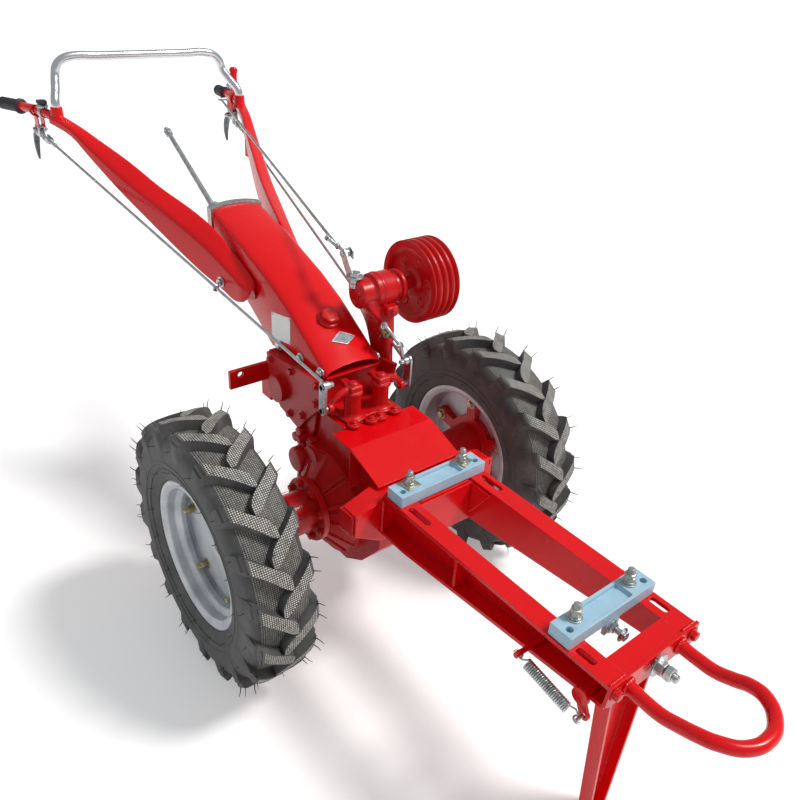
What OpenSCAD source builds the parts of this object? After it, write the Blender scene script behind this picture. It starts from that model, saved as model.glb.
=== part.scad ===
// Walk-behind tractor chassis, ready for its engine: two driven wheels, gearbox,
// belt clutch, handlebars and a front frame with a parking stand.
// X points forward, Y to the machine's left and Z up.

/* [Wheels] */
// Outside diameter of the tyre, over the lugs
tyre_d = 590; // [570:5:610]
// Width of the tyre
tyre_w = 142; // [134:2:150]
// Distance between the two tyres' middles
track = 740; // [700:10:860]
// Height of the lugs
lug_h = 21; // [14:1:26]
// Lugs on each side of a tyre
lug_count = 18; // [14:1:20]
// Diameter of the rim's flanges
rim_d = 332; // [324:2:340]
// Height of the rim's flanges over the bead seats
flange_h = 14; // [12:1:16]
// Diameter of the circle of wheel bolts
bolt_circle = 228; // [216:2:232]

/* [Front frame] */
// Distance between the rails' inner faces
rail_gap = 146; // [130:2:170]
// Width of a rail's flange
rail_w = 42; // [36:1:50]
// Thickness of the rails
rail_t = 8; // [5:0.5:10]
// Height of the rails' top face over the axle
rail_up = 170; // [156:2:190]
// Distance from the axle to the front end of the rails
frame_x = 795; // [740:5:860]
// Depth of a rail at its back end
rail_deep = 100; // [80:2:110]
// Depth of a rail at its front end
rail_shallow = 52; // [44:2:64]
// Length of the front loop
loop_l = 190; // [150:5:240]
// Width of the front loop between its bar's middles
loop_w = 186; // [150:2:200]
// Diameter of the loop's bar
loop_bar = 24; // [18:1:28]

/* [Engine mounts] */
// Thickness of the two mounting plates
mount_t = 25; // [18:1:30]
// Width of a mounting plate, front to back
mount_w = 46; // [40:1:56]
// Distance from the axle to the middle of the rear plate
mount_rear_x = 257; // [245:1:280]
// Distance from the axle to the middle of the front plate
mount_front_x = 688; // [640:2:700]
// Diameter of the holes for the engine's bolts
mount_hole = 13; // [10:0.5:16]

/* [Handlebars] */
// Distance between the two grips' middles
grip_gap = 664; // [600:4:720]
// Height of the grips over the axle
grip_up = 671; // [640:1:700]
// Distance from the axle back to the grips' ends
grip_x = 1300; // [1260:5:1360]
// Diameter of the grips
grip_d = 34; // [30:1:40]
// Height of the cross tube over the axle
cross_up = 807; // [765:1:830]
// Diameter of the cross tube
cross_d = 23; // [18:1:28]

/* [Clutch pulley] */
// Diameter of the pulley
pulley_d = 196; // [160:2:216]
// Width of the pulley
pulley_w = 74; // [60:2:84]
// Number of belt grooves
groove_count = 4; // [2:1:5]
// Height of the pulley's shaft over the axle
pulley_up = 440; // [424:2:470]

/* [Parking stand] */
// How far the stand's foot is ahead of its pivot
stand_lean = 15; // [10:1:30]
// Width of the stand's top
stand_w = 124; // [100:2:130]

/* [Hidden] */
$fn = 48;

red = "#c8121a";
zinc = "#c4c8c6";
rubber = "#2c2c2e";
tyre_r = tyre_d / 2;
// everything is drawn at heights that put the axle at axle_z, and lowered to the ground at the end
axle_z = 328;
ground_z = axle_z - tyre_r;
rail_z = axle_z + rail_up;
grip_z = axle_z + grip_up;
cross_z = axle_z + cross_up;
pulley_z = axle_z + pulley_up;
// the whole machine is moved so that its bounding box's middle is at X = 0
shift_x = (grip_x - frame_x - 6 - loop_l - loop_bar / 2) / 2;
rail_in = rail_gap / 2;
rail_out = rail_in + rail_w;
pulley_x = -114;

// ---- helpers ----

function middle(r) = [for (k = [0:2]) sum([for (q = r) q[k]]) / len(r)];
function sum(v, i = 0) = i == len(v) ? 0 : v[i] + sum(v, i + 1);
function facing(r) = [for (k = [0:2]) sum([for (i = [1:len(r) - 2])
  cross(r[i] - r[0], r[i + 1] - r[0])[k]])];
function turned(f, back) = back ? [for (i = [len(f) - 1:-1:0]) f[i]] : f;

// a skin through rings of points, each ring with the same number of points;
// with loop it closes on itself and has no ends
module loft(rings, loop = false) {
  n = len(rings[0]);
  m = len(rings);
  back = facing(rings[0]) * (middle(rings[1]) - middle(rings[0])) < 0;
  sides = [for (j = [0:loop ? m - 1 : m - 2]) for (i = [0:n - 1])
    let (a = j * n + i, b = j * n + (i + 1) % n, c = (a + n) % (m * n), d = (b + n) % (m * n))
    each [[a, c, b], [b, c, d]]];
  caps = loop ? [] : [[for (i = [0:n - 1]) i], [for (i = [n - 1:-1:0]) (m - 1) * n + i]];
  polyhedron(points = [for (r = rings) each r],
    faces = [for (f = concat(sides, caps)) turned(f, back)], convexity = 6);
}

function unit(v) = v / norm(v);
// the direction of a route at its point i
function heading(p, i) =
  i == 0 ? unit(p[1] - p[0]) :
  i == len(p) - 1 ? unit(p[i] - p[i - 1]) :
  unit(unit(p[i] - p[i - 1]) + unit(p[i + 1] - p[i]));
// the side direction that a route's rings are turned to
function sideways(d) = unit(abs(d[1]) > 0.9 ? cross([0, 0, 1], d) : cross([0, 1, 0], d));

function round_ring(p, i, r, sides) = let (d = heading(p, i), u = sideways(d), v = cross(d, u))
  [for (k = [0:sides - 1]) p[i] + r * (cos(k * 360 / sides) * u + sin(k * 360 / sides) * v)];
// a round bar along a route, with one radius or a radius for each point
module bar(p, r, sides = 12) {
  loft([for (i = [0:len(p) - 1]) round_ring(p, i, is_list(r) ? r[i] : r, sides)]);
}
// a round pipe along a route
module pipe(p, r, wall, sides = 12) {
  n = len(p) - 1;
  loft(concat([for (i = [0:n]) round_ring(p, i, r, sides)],
    [for (i = [n:-1:0]) round_ring(p, i, r - wall, sides)]), true);
}

// points along an arc in the plane of u and v
function arc(c, r, u, v, a0, a1, n) =
  [for (i = [0:n]) let (a = a0 + (a1 - a0) * i / n) c + r * (cos(a) * u + sin(a) * v)];

// a cylinder along X, Y or Z from one end to the other
module along_y(x, z, y0, y1, r, r2 = -1) {
  translate([x, y0, z]) rotate([-90, 0, 0])
    cylinder(h = y1 - y0, r1 = r, r2 = r2 < 0 ? r : r2);
}
module along_x(y, z, x0, x1, r) {
  translate([x0, y, z]) rotate([0, 90, 0]) cylinder(h = x1 - x0, r = r);
}
module along_z(x, y, z0, z1, r, r2 = -1) {
  translate([x, y, z0]) cylinder(h = z1 - z0, r1 = r, r2 = r2 < 0 ? r : r2);
}
// a plate whose outline lies in the XZ plane
module side_plate(outline, y0, y1) {
  translate([0, y1, 0]) rotate([90, 0, 0]) linear_extrude(y1 - y0) polygon(outline);
}
// a plate whose outline lies in the YZ plane
module end_plate(outline, x0, x1) {
  translate([x0, 0, 0]) rotate([90, 0, 90]) linear_extrude(x1 - x0) polygon(outline);
}
module block(x0, x1, y0, y1, z0, z1) {
  translate([x0, y0, z0]) cube([x1 - x0, y1 - y0, z1 - z0]);
}
module hex_z(x, y, z0, h, flats) {
  translate([x, y, z0]) cylinder(h = h, d = flats / cos(30), $fn = 6);
}
module hex_y(x, z, y0, h, flats) {
  translate([x, y0, z]) rotate([-90, 0, 0]) cylinder(h = h, d = flats / cos(30), $fn = 6);
}
module hex_x(y, z, x0, h, flats) {
  translate([x0, y, z]) rotate([0, 90, 0]) cylinder(h = h, d = flats / cos(30), $fn = 6);
}
// the machine's left side, or its right side as the mirror image
module on_side(s) {
  if (s > 0) children();
  else mirror([0, 1, 0]) children();
}

// ---- wheels: drawn round the wheel's own middle with its axle along Y ----

crown_r = tyre_r - lug_h;
rim_r = rim_d / 2;
seat_r = rim_r - flange_h;
seat_y = 51;
disc_y = 4;
disc_t = 6;
disc_hole_r = bolt_circle / 2 - 20;
wheel_y = track / 2;
hub_y = wheel_y + disc_y - disc_t;
star_t = 18;
hub_len = 132;
wheel_turn = 51;

// x is the radius and y the distance from the wheel's middle
module around_axle(outline) {
  translate([0, wheel_y, axle_z]) rotate([-90, 0, 0]) rotate_extrude($fn = 72) polygon(outline);
}

tyre_wall = 8;
shoulder_y = tyre_w / 2 - 5;
lug_lean = 11;
lug_half = 14;
lug_step = 360 / lug_count;
function on_tread(r, a, y) = [r * cos(a), y, r * sin(a)];
// one cross section of a lug: its root is sunk in the tread
function lug_ring(a, y, root_r, top_r) =
  let (h = lug_half / tyre_r * 180 / PI, g = h * 1.25)
  [on_tread(root_r, a - g, y), on_tread(top_r, a - h, y), on_tread(top_r, a + h, y),
    on_tread(root_r, a + g, y)];
// a lug runs from just past the tread's middle, which leads, to the shoulder
module tyre_lug(a, side) {
  b = a + lug_half / tyre_r * 180 / PI;
  loft([lug_ring(b, side * -4, crown_r - 6, tyre_r),
    lug_ring(b + lug_lean * 0.8, side * (shoulder_y - 15), crown_r - 8, tyre_r),
    lug_ring(b + lug_lean, side * shoulder_y, crown_r - 28, tyre_r - 14)]);
}
module tyre(s) color(rubber) on_side(s) {
  w = tyre_w / 2;
  mid_r = (rim_r + crown_r) / 2;
  half = [[crown_r + 1, 0], [crown_r - 1, w - 32], [crown_r - 7, w - 14], [crown_r - 24, w - 4],
    [mid_r + 2, w], [mid_r - 20, w - 4], [rim_r + 6, seat_y + 9], [rim_r + 0.6, seat_y + 3],
    [rim_r - 5, seat_y + 0.7], [seat_r + 0.3, seat_y - 0.3], [seat_r + 0.3, seat_y - 16],
    [rim_r + 4, seat_y - 10],
    [mid_r - 17, w - 4 - tyre_wall], [mid_r + 2, w - tyre_wall], [crown_r - 25, w - 5 - tyre_wall],
    [crown_r - 13, w - 30], [crown_r - 11, 0]];
  around_axle(concat(half, [for (i = [len(half) - 2:-1:1]) [half[i][0], -half[i][1]]]));
  translate([0, wheel_y, axle_z]) for (k = [0:lug_count - 1]) {
    tyre_lug(k * lug_step - 90, -1);
    tyre_lug((k + 0.5) * lug_step - 90, 1);
  }
}

module rim(s) color("#b9bab8") on_side(s) difference() {
  around_axle([
    [rim_r, -seat_y - 4], [rim_r - 3, -seat_y - 7], [rim_r - 10, -seat_y - 7], [seat_r - 7, -seat_y - 1],
    [seat_r - 8, -40], [seat_r - 8, disc_y - disc_t],
    [disc_hole_r, disc_y - disc_t], [disc_hole_r, disc_y], [seat_r - 12, disc_y], [seat_r - 12, disc_y + 4],
    [seat_r - 20, disc_y + 10], [seat_r - 20, disc_y + 22],
    [seat_r - 8, disc_y + 31], [seat_r - 7, seat_y + 1],
    [rim_r - 10, seat_y + 7], [rim_r - 3, seat_y + 7], [rim_r, seat_y + 4], [rim_r - 5, seat_y + 1],
    [seat_r, seat_y], [seat_r, disc_y + 31], [seat_r - 13, disc_y + 22], [seat_r - 13, disc_y + 10],
    [seat_r, disc_y], [seat_r, -seat_y], [rim_r - 5, -seat_y - 1]]);
  for (k = [0:4]) wheel_bolt_place(k) along_y(0, 0, disc_y - 30, disc_y + 20, wheel_bolt_r + 0.2);
}

module wheel_bolt_place(k) {
  translate([0, wheel_y, axle_z]) rotate([0, k * 72 + wheel_turn, 0]) translate([bolt_circle / 2, 0, 0])
    children();
}

module wheel_hub(s) color(red) on_side(s) {
  y = hub_y - wheel_y;
  around_axle([[axle_r, y - hub_len], [50, y - hub_len], [50, y - hub_len + 16], [46, y - hub_len + 22],
    [54, y - star_t + 1], [axle_r, y - star_t + 1]]);
  translate([0, hub_y, axle_z]) rotate([90, 0, 0]) linear_extrude(star_t) difference() {
    union() {
      circle(r = 72);
      for (k = [0:4]) rotate(-k * 72 - wheel_turn) {
        translate([bolt_circle / 2, 0]) circle(r = 19);
        translate([60, -15]) square([bolt_circle / 2 - 60, 30]);
      }
    }
    circle(r = axle_r);
    for (k = [0:4])
      rotate(-k * 72 - wheel_turn) translate([bolt_circle / 2, 0]) circle(r = wheel_bolt_r + 0.2);
  }
}

wheel_bolt_r = 7;
module wheel_bolts(s) color("#b59a5c") on_side(s) for (k = [0:4]) wheel_bolt_place(k) {
  y = hub_y - wheel_y;
  along_y(0, 0, y - star_t - 5, y + 28, wheel_bolt_r);
  hex_y(0, 0, y + disc_t + 0.1, 12, 22);
  hex_y(0, 0, y - star_t - 9.1, 9, 22);
}

// ---- gearbox and final drive ----

case_y = 88;
case_in_y = 68;
// the end of the change shaft shows as a boss on each side
boss_r = 28;
boss_x = -50;
boss_z = 424;
boss_y = 112;
// the bell over each axle: it narrows to a flange with a bearing housing
bell_y = 96;
bell_end = 140;
bell_r = 122;
flange_r = 76;
axle_r = 22;
shaft_in_y = 118;
bearing_end = 206;
cover_t = 10;
case_top = [[-268, 601], [-60, 617.8]];

module final_drive_case() color(red) placed() difference() {
  union() {
    side_plate([[-118, 300], [-92, 225], [-40, 188], [60, 188], [120, 225], [180, 300], [180, 440],
      [162, 494], [100, 527], [34, 527], [34, 540], [-60, 540], [-70, 480], [-110, 400]], -80, 80);
    for (s = [-1, 1]) on_side(s) {
      along_y(0, axle_z, 80, bell_y, bell_r + 6);
      along_y(0, axle_z, bell_y, bell_end, bell_r, flange_r - 12);
      along_y(0, axle_z, bell_end, bell_end + 14, flange_r);
      along_y(0, axle_z, bell_end + 14, bearing_end, 50);
      for (k = [0:7]) translate([0, 0, axle_z]) rotate([0, k * 45 + 22.5, 0])
        translate([flange_r - 11, bell_end + 8, 0]) hex_y(0, 0, 0, 13, 15);
      for (k = [0:11]) translate([0, 0, axle_z]) rotate([0, k * 30, 0])
        side_rib();
      along_y(boss_x, boss_z, 80, boss_y - 8, boss_r + 3);
      along_y(boss_x, boss_z, 80, boss_y, boss_r);
    }
  }
  // the hollow behind the gears opens into the gearbox
  side_plate([[-38, 206], [-84, 236], [-106, 302], [-98, 396], [-104, 420], [-84, 470], [-78, 500],
    [-72, 520], [-38, 520]], -case_in_y, case_in_y);
  for (s = [-1, 1]) on_side(s) along_y(0, axle_z, shaft_in_y, bearing_end + 1, axle_r);
}
// a rib that runs down the bell's cone
module side_rib() {
  translate([0, 0, -3]) linear_extrude(6)
    polygon([[60, bell_y], [bell_r + 4, bell_y], [flange_r - 4, bell_end], [60, bell_end]]);
}

module axle_shaft(s) color(zinc) on_side(s)
  along_y(0, axle_z, shaft_in_y + 1, hub_y + 2, axle_r - 0.05);

module gearbox_case() color(red) placed() difference() {
  side_plate([case_top[0], case_top[1], [-60, 540], [-70, 480], [-110, 400],
    [-124, 452], [-206, 474], [-252, 548]], -case_y, case_y);
  side_plate([[-252, 592], [-68, 607], [-68, 540], [-52, 525], [-60, 485], [-95, 425], [-111, 440],
    [-118, 462], [-200, 483], [-240, 550]], -case_y + 7, case_y - 7);
}

module gearbox_side_covers() color(red) placed() for (s = [-1, 1]) on_side(s) {
  side_plate([[-262, 601], [-12, 628], [-32, 560], [-92, 500], [-122, 460], [-204, 480], [-252, 548]],
    case_y, case_y + cover_t);
  along_y(-200, 534, case_y + cover_t, case_y + cover_t + 16, 33);
  // the clutch housing's foot takes the place of the left cover's last two bolts
  for (p = [[-242, 590], [-150, 600], [-104, 506], [-158, 484], [-232, 520], [-50, 611], [-48, 566]])
    if (s < 0 || p[0] < -60) hex_y(p[0], p[1], case_y + cover_t, 8, 14);
}

turret_x = 6;
turret_y = 38;
link_x = 5;
link_y = 109;
link_top = 640;
link_low = 582;
module steering_turrets() color(red) placed() {
  block(-52, 33, -84, 84, 540.2, 552);
  for (s = [-1, 1]) on_side(s) {
    along_z(turret_x, turret_y, 552, 566, 30);
    along_z(turret_x, turret_y, 566, 604, 20);
    block(turret_x - 22, turret_x + 22, turret_y - 17, turret_y + 17, 604, 628);
    bar([[turret_x, turret_y + 10, 616], [turret_x, 84, 604], [link_x, link_y - 12, link_low],
      [link_x, link_y - 6.2, link_low]], 7, 8);
    for (dx = [-40, 34]) {
      along_z(turret_x + dx, turret_y + 18, 540.2, 558, 14);
      hex_z(turret_x + dx, turret_y + 18, 558, 8, 15);
    }
  }
}

// ---- handlebars ----

// stations along the hood: x, underside z, top edge z, half width, crown height
hood_rows = [
  [-567, 768, 849, 68, 8],
  [-430, 688, 813, 71, 10],
  [-281, 600.2, 762, 72, 11],
  [-200, 606.7, 725, 73, 12],
  [-120, 613.2, 678, 73, 12],
  [-60, 618.1, 641, 74, 13],
  [-45, 619.3, 632, 75, 13]];
hood_lip_x = -45;
hood_back_x = -567;
function hood_w(x) = lookup(x, [for (r = hood_rows) [r[0], r[3]]]);
hood_wall = 3;
plug_x = -150;
plug_z = 706;
plug_tilt = 30;

function hood_ring(r, inset) = let (hw = r[3] - inset, zb = r[1] + inset, zt = r[2] - inset, n = 8)
  concat([[r[0], hw, zb], [r[0], -hw, zb], [r[0], -hw, zt]],
    [for (i = [1:n - 1]) let (y = -hw + 2 * hw * i / n) [r[0], y, zt + r[4] * (1 - pow(y / hw, 2))]],
    [[r[0], hw, zt]]);

module handlebar_hood() color(red) placed() difference() {
  loft([for (r = hood_rows) hood_ring(r, 0)]);
  loft([for (r = hood_rows) let (x = r[0] == hood_lip_x ? r[0] + 1 : r[0] == hood_back_x ? r[0] - 1 : r[0])
    hood_ring([x, r[1], r[2], r[3], r[4]], hood_wall)]);
  on_hood_top() cylinder(h = 20, r = 25.3);
}
// the flat seat of the filler plug on the hood's crown
module on_hood_top() {
  translate([plug_x, 0, plug_z]) rotate([0, plug_tilt, 0]) children();
}

module hood_rear_cover() color("#a9adb0") placed()
  difference() {
    loft([for (x = [hood_back_x - 22, hood_back_x - 0.1]) hood_ring([x, 764, 854, 71, 9], 0)]);
    loft([for (x = [hood_back_x - 18, hood_back_x + 1]) hood_ring([x, 764, 854, 71, 9], 7)]);
  }

module data_plate() color("#d8dadb") placed()
  loft([for (x = [-277, -215, -193]) let (y = -hood_w(x), z = 626 + (x + 277) * 0.2)
    [[x, y - 0.2, z], [x, y - 1.4, z], [x, y - 1.4, z + 66], [x, y - 0.2, z + 66]]]);

module filler_plug() color(red) placed() on_hood_top() {
  translate([0, 0, 0.1]) cylinder(h = 9, r = 25);
  translate([0, 0, 9]) cylinder(h = 13, d = 44 / cos(30), $fn = 6);
}

// the gear lever ends in a lock nut and a stub of thread
module gear_lever() color(zinc) placed() {
  x = hood_back_x - 22.2;
  tip = [-873, -40, 984];
  foot = [x - 22, -50, 856];
  d = unit(tip - foot);
  bar([[x, -50, 847], [x - 10, -50, 847], foot, tip - 26 * d, tip - 25 * d, tip - 9 * d, tip - 8 * d, tip],
    [9, 9, 7, 7, 11, 11, 6, 6], 10);
}

// the side plane in which a handlebar arm runs
arm_y0 = 112;
arm_x0 = -350;
arm_slope = (grip_gap / 2 - arm_y0) / (grip_x + arm_x0);
function arm_y(x) = arm_y0 + (arm_x0 - x) * arm_slope;
// stations along an arm, which is a folded channel open below: x, inner and outer face, underside,
// top at the inner and at the outer face
arm_rows = [
  [-352, 72.3, 98, 702, 742, 722],
  [-368, 72.3, 104, 688, 755, 732],
  [-400, 72.3, 107, 683, 768, 743],
  [-450, 76, 114, 697, 791, 764],
  [-520, 88, 130, 718, 828, 796],
  [-600, 107, 152, 754, 856, 827],
  [-700, 138, 181, 805, 887, 862],
  [-800, 172, 213, 862, 930, 903],
  [-900, 208, 244, 926, 966, 953],
  [-960, 231, 262, 964, 988, 984],
  [-1040, 257, 287, grip_z - 16, grip_z + 9, grip_z + 5]];
arm_wall = 2;
function arm_ring(r, t) = [[r[0], r[1] + t, r[3] - (t > 0 ? 1 : 0)], [r[0], r[1] + t, r[4] - 1.4 * t],
  [r[0], r[2] - t, r[5] - 1.4 * t], [r[0], r[2] - t, r[3] - (t > 0 ? 1 : 0)]];
function arm_in(x) = lookup(x, [for (i = [len(arm_rows) - 1:-1:0]) [arm_rows[i][0], arm_rows[i][1]]]);
grip_len = 105;
grip_p = [-grip_x, arm_y(-grip_x), grip_z - 8];
tube_p = [-1160, arm_y(-1160), grip_z + 1];
tube_end = grip_p + 6 * unit(tube_p - grip_p);
tube_r = 12;
tube_wall = 2.5;

module handle_arm(s) color(red) on_side(s) difference() {
  route = [[-1080, arm_y(-1080), grip_z + 1], tube_p, tube_end];
  union() {
    loft([for (r = arm_rows) arm_ring(r, 0)]);
    bar(concat([[-1030, arm_y(-1030), grip_z - 2]], route), tube_r, 12);
    block(-893, -873, arm_in(-883) - 1, arm_in(-883) + 5, 880, 930);
    along_z(cross_foot[0], cross_foot[1], grip_z, cross_foot[2] - 0.2, 15);
  }
  loft([for (i = [1:len(arm_rows) - 2]) arm_ring(arm_rows[i], arm_wall)]);
  bar(concat([[-1056, arm_y(-1056), grip_z]], route, [grip_p]), tube_r - tube_wall, 12);
}

module handle_grip(s) color("#1d1d1f") on_side(s) difference() {
  bar([grip_p, grip_p + grip_len * unit(tube_p - grip_p)], grip_d / 2, 16);
  bar([tube_end, grip_p + (grip_len + 9) * unit(tube_p - grip_p)], tube_r + 0.05, 12);
}

cross_y = 240;
cross_x = -1090;
cross_foot = [-1033, arm_y(-1033) - 4, grip_z + 24];
cross_r = 45;
module cross_tube() color("#d4d6d6") placed() {
  u = [0, 1, 0];
  v = [0, 0, 1];
  right = concat([for (dz = [0, 12]) [cross_foot[0], -cross_foot[1], cross_foot[2] + dz]],
    arc([cross_x, -cross_y + cross_r, cross_z - cross_r], cross_r, u, v, 180, 90, 6));
  left = concat(arc([cross_x, cross_y - cross_r, cross_z - cross_r], cross_r, u, v, 90, 0, 6),
    [for (dz = [12, 0]) cross_foot + [0, 0, dz]]);
  pipe(concat(right, left), cross_d / 2, 2);
}

lever_gap = 55;
lever_x = grip_len + lever_gap - grip_x;
module steering_lever(s) on_side(s) {
  y = arm_y(lever_x) - 4;
  z = grip_z - 52;
  color(red) block(lever_x, lever_x + 32, y - 9, y + 9, z + 10, grip_z + 0.8 - tube_r);
  color(zinc) block(lever_x - 4, lever_x + 34, y - 5, y + 5, z - 12, z + 10);
  color(zinc) along_y(lever_x + 2, z, y - 13, y + 13, 8);
  color("#6d6f71") loft([for (r = [[2, 6, 16], [-18, -8, 16], [-32, -28, 16], [-38, -56, 14], [-36, -84, 7]])
    let (x = lever_x + r[0], w = r[2] / 2)
    [[x - w, y - 8, z + r[1]], [x - w, y + 8, z + r[1]],
     [x + w, y + 8, z + r[1]], [x + w, y - 8, z + r[1]]]]);
}

module steering_rod(s) color(zinc) on_side(s) {
  y = arm_y(lever_x) - 4;
  x = lever_x + 43;
  z = grip_z - 66;
  bar([[x, y - 6, z], [link_x - 8, link_y - 2, link_top + 2]], 3.5, 8);
  along_y(x, z, y - 8, y + 8, 8.8);
  difference() {
    along_y(link_x, link_top, link_y - 8, link_y + 3, 10);
    along_y(link_x, link_top, link_y - 9, link_y + 4, 6.05);
  }
}
module steering_link(s) color(zinc) on_side(s) {
  block(link_x - 12, link_x + 12, link_y + 3.5, link_y + 9.5, link_low - 12, link_top + 12);
  along_y(link_x, link_top, link_y - 12, link_y + 4, 6);
  along_y(link_x, link_low, link_y - 6, link_y + 4, 6);
}

module clutch_lever() color(red) placed() {
  y = arm_y(-1110);
  block(-1122, -1094, y - 8, y + 8, grip_z + 1 + tube_r, grip_z + 56);
  bar([[-1108, y, grip_z + 46], [-1124, y + 12, grip_z + 100]], 9, 10);
}
// the clutch rod runs from the lever over the left arm to the fork on the housing
fork_p = [-165, 55, 849];
fork_pin_r = 4;
module clutch_rods() color(zinc) placed() {
  lever_p = [-1110, 244, 1000];
  d = unit([fork_p[0] - lever_p[0], 0, fork_p[2] - lever_p[2]]);
  difference() {
    union() {
      bar([lever_p, fork_p - 34 * d, fork_p - 28 * d, fork_p - 7 * d], [3.5, 3.5, 4.2, 4.2], 8);
      along_y(fork_p[0], fork_p[2], fork_p[1] - 5, fork_p[1] + 5, 10);
    }
    along_y(fork_p[0], fork_p[2], fork_p[1] - 8, fork_p[1] + 8, fork_pin_r + 0.05);
  }
  along_y(lever_p[0], lever_p[2], 236, 262, 5);
}
module throttle_lever() placed() {
  x = -1092;
  y = -arm_y(x);
  z = grip_z + 1.2 + tube_r;
  color(zinc) along_z(x, y, z, z + 9, 15);
  color("#1d1d1f") block(x - 22, x + 16, y - 12, y + 12, z + 9, z + 17);
}

// ---- belt clutch ----

housing_y = 48;
pulley_y = 200;
shaft_r = 14;
module clutch_housing() color(red) placed() {
  along_y(pulley_x, pulley_z, housing_y, housing_y + 36, 32);
  along_y(pulley_x, pulley_z, housing_y + 36, housing_y + 92, 42);
  along_y(pulley_x, pulley_z, housing_y + 92, pulley_y - 22, 30);
  along_y(pulley_x, pulley_z, pulley_y - 22, pulley_y + pulley_w + 12, shaft_r);
  along_y(pulley_x, pulley_z, pulley_y - 40, pulley_y - 32, 38);
  loft([for (r = [[-38, 38, housing_y + 8, pulley_z - 14], [-34, 70, case_y + 4, pulley_z - 66]])
    let (x0 = pulley_x + r[0], x1 = pulley_x + r[1], y1 = housing_y + 86)
    [[x0, r[2], r[3]], [x0, y1, r[3]], [x1, y1, r[3]], [x1, r[2], r[3]]]]);
  side_plate([[pulley_x - 34, pulley_z - 60], [pulley_x - 30, pulley_z - 90], [-74, 566], [-24, 574],
    [pulley_x + 70, pulley_z - 66]], case_y + cover_t + 0.2, case_y + cover_t + 8);
}
module clutch_bellcrank() color(zinc) placed() {
  x = fork_p[0];
  difference() {
    union() {
      along_z(pulley_x - 14, fork_p[1], pulley_z + 25, 818, 12);
      hex_z(pulley_x - 14, fork_p[1], 818, 8, 22);
    }
    along_y(pulley_x, pulley_z, housing_y - 1, housing_y + 34, 32.2);
  }
  side_plate([[pulley_x - 24, 806], [pulley_x - 8, 806], [x + 10, 856], [x - 6, 862], [x - 10, 846]],
    fork_p[1] - 12, fork_p[1] - 8);
  along_y(x, fork_p[2], fork_p[1] - 8.1, fork_p[1] + 9, fork_pin_r);
  along_y(x, fork_p[2], fork_p[1] - 8.1, fork_p[1] - 5.4, 8);
  bar([[-62, housing_y + 86.2, 716], [-62, housing_y + 98, 716],
    [-56, housing_y + 108, 706], [-20, 162, 664]],
    7, 10);
}
groove_d = 9;
groove_w = 12;
web_y = 10;
module clutch_pulley() color(red) placed() {
  pitch = pulley_w / groove_count;
  r = pulley_d / 2;
  translate([pulley_x, pulley_y, pulley_z]) rotate([-90, 0, 0]) rotate_extrude($fn = 72)
    polygon(concat([[shaft_r + 0.05, 2], [30, 2], [34, web_y], [r - 24, web_y], [r - 18, 0], [r, 0]],
      [for (i = [0:groove_count - 1]) let (y = pitch * (i + 0.5))
        each [[r, y - groove_w / 2], [r - groove_d, y - 2], [r - groove_d, y + 2], [r, y + groove_w / 2]]],
      [[r, pulley_w], [r - groove_d - 5, pulley_w], [r - groove_d - 8, web_y + 9], [34, web_y + 9],
        [30, pulley_w - 4], [shaft_r + 0.05, pulley_w - 4]]));
  // round pads on the web
  for (k = [0:5]) translate([pulley_x, pulley_y, pulley_z]) rotate([0, k * 60 + 10, 0])
    along_y((r + 10) / 2, 0, web_y - 5, web_y + 1, 12);
}

// ---- front frame ----

rail_back_x = 226;
function rail_low(x) = rail_z - rail_deep +
  (rail_deep - rail_shallow) * max(0, (x - 300)) / (frame_x - 300);
slot_y = rail_in + 24;

module rail_slot(x0, x1) {
  r = 7;
  block(x0 + r, x1 - r, slot_y - r, slot_y + r, rail_z - rail_t - 1, rail_z + 1);
  for (x = [x0 + r, x1 - r]) along_z(x, slot_y, rail_z - rail_t - 1, rail_z + 1, r);
}
module frame_rail(s) color(red) on_side(s) difference() {
  outline = [[rail_back_x, rail_low(0)], [300, rail_low(300)], [frame_x, rail_low(frame_x)],
    [frame_x, rail_z], [rail_back_x, rail_z]];
  union() {
    side_plate(outline, rail_in, rail_in + rail_t);
    block(rail_back_x, frame_x, rail_in, rail_out, rail_z - rail_t, rail_z);
    side_plate([[rail_back_x, rail_low(0)], [300, rail_low(300)], [frame_x, rail_low(frame_x)],
      [frame_x, rail_low(frame_x) + rail_t], [300, rail_low(300) + rail_t],
      [rail_back_x, rail_low(0) + rail_t]], rail_in, rail_out);
    side_plate([[440, rail_low(440) + 1], [446, rail_low(446) + 1], [446, rail_z - 1], [440, rail_z - 1]],
      rail_in + 1, rail_out - 3);
    if (s < 0) along_y(spring_x, spring_z, rail_in + 1, spring_y + 24, 5);
  }
  rail_slot(mount_rear_x + 30, mount_rear_x + 92);
  rail_slot(mount_front_x + 27, mount_front_x + 66);
  along_y(stand_x, stand_z, rail_in - 1, rail_out, stand_shaft_r + 0.08);
}

module frame_cross_plate() color(red) placed()
  block(284, 290, -rail_in, rail_in, rail_z - rail_deep, rail_z - 4);

bolster_y = 190;
module frame_bolster() color(red) placed() {
  side_plate([[180.1, rail_z - rail_deep - 24], [rail_back_x, rail_z - rail_deep - 24],
    [rail_back_x, rail_z - 14], [206, rail_z - 2.3], [180.1, rail_z - 2.3]], -bolster_y, bolster_y);
  for (s = [-1, 1]) on_side(s) difference() {
    side_plate([[rail_back_x, rail_low(0) - 10], [rail_back_x + 34, rail_low(0) + 4],
      [rail_back_x, rail_z - 20]],
      bolster_y - 8, bolster_y);
    along_y(rail_back_x + 10, rail_low(0) + 14, bolster_y - 9, bolster_y + 1, 6);
  }
}

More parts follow.
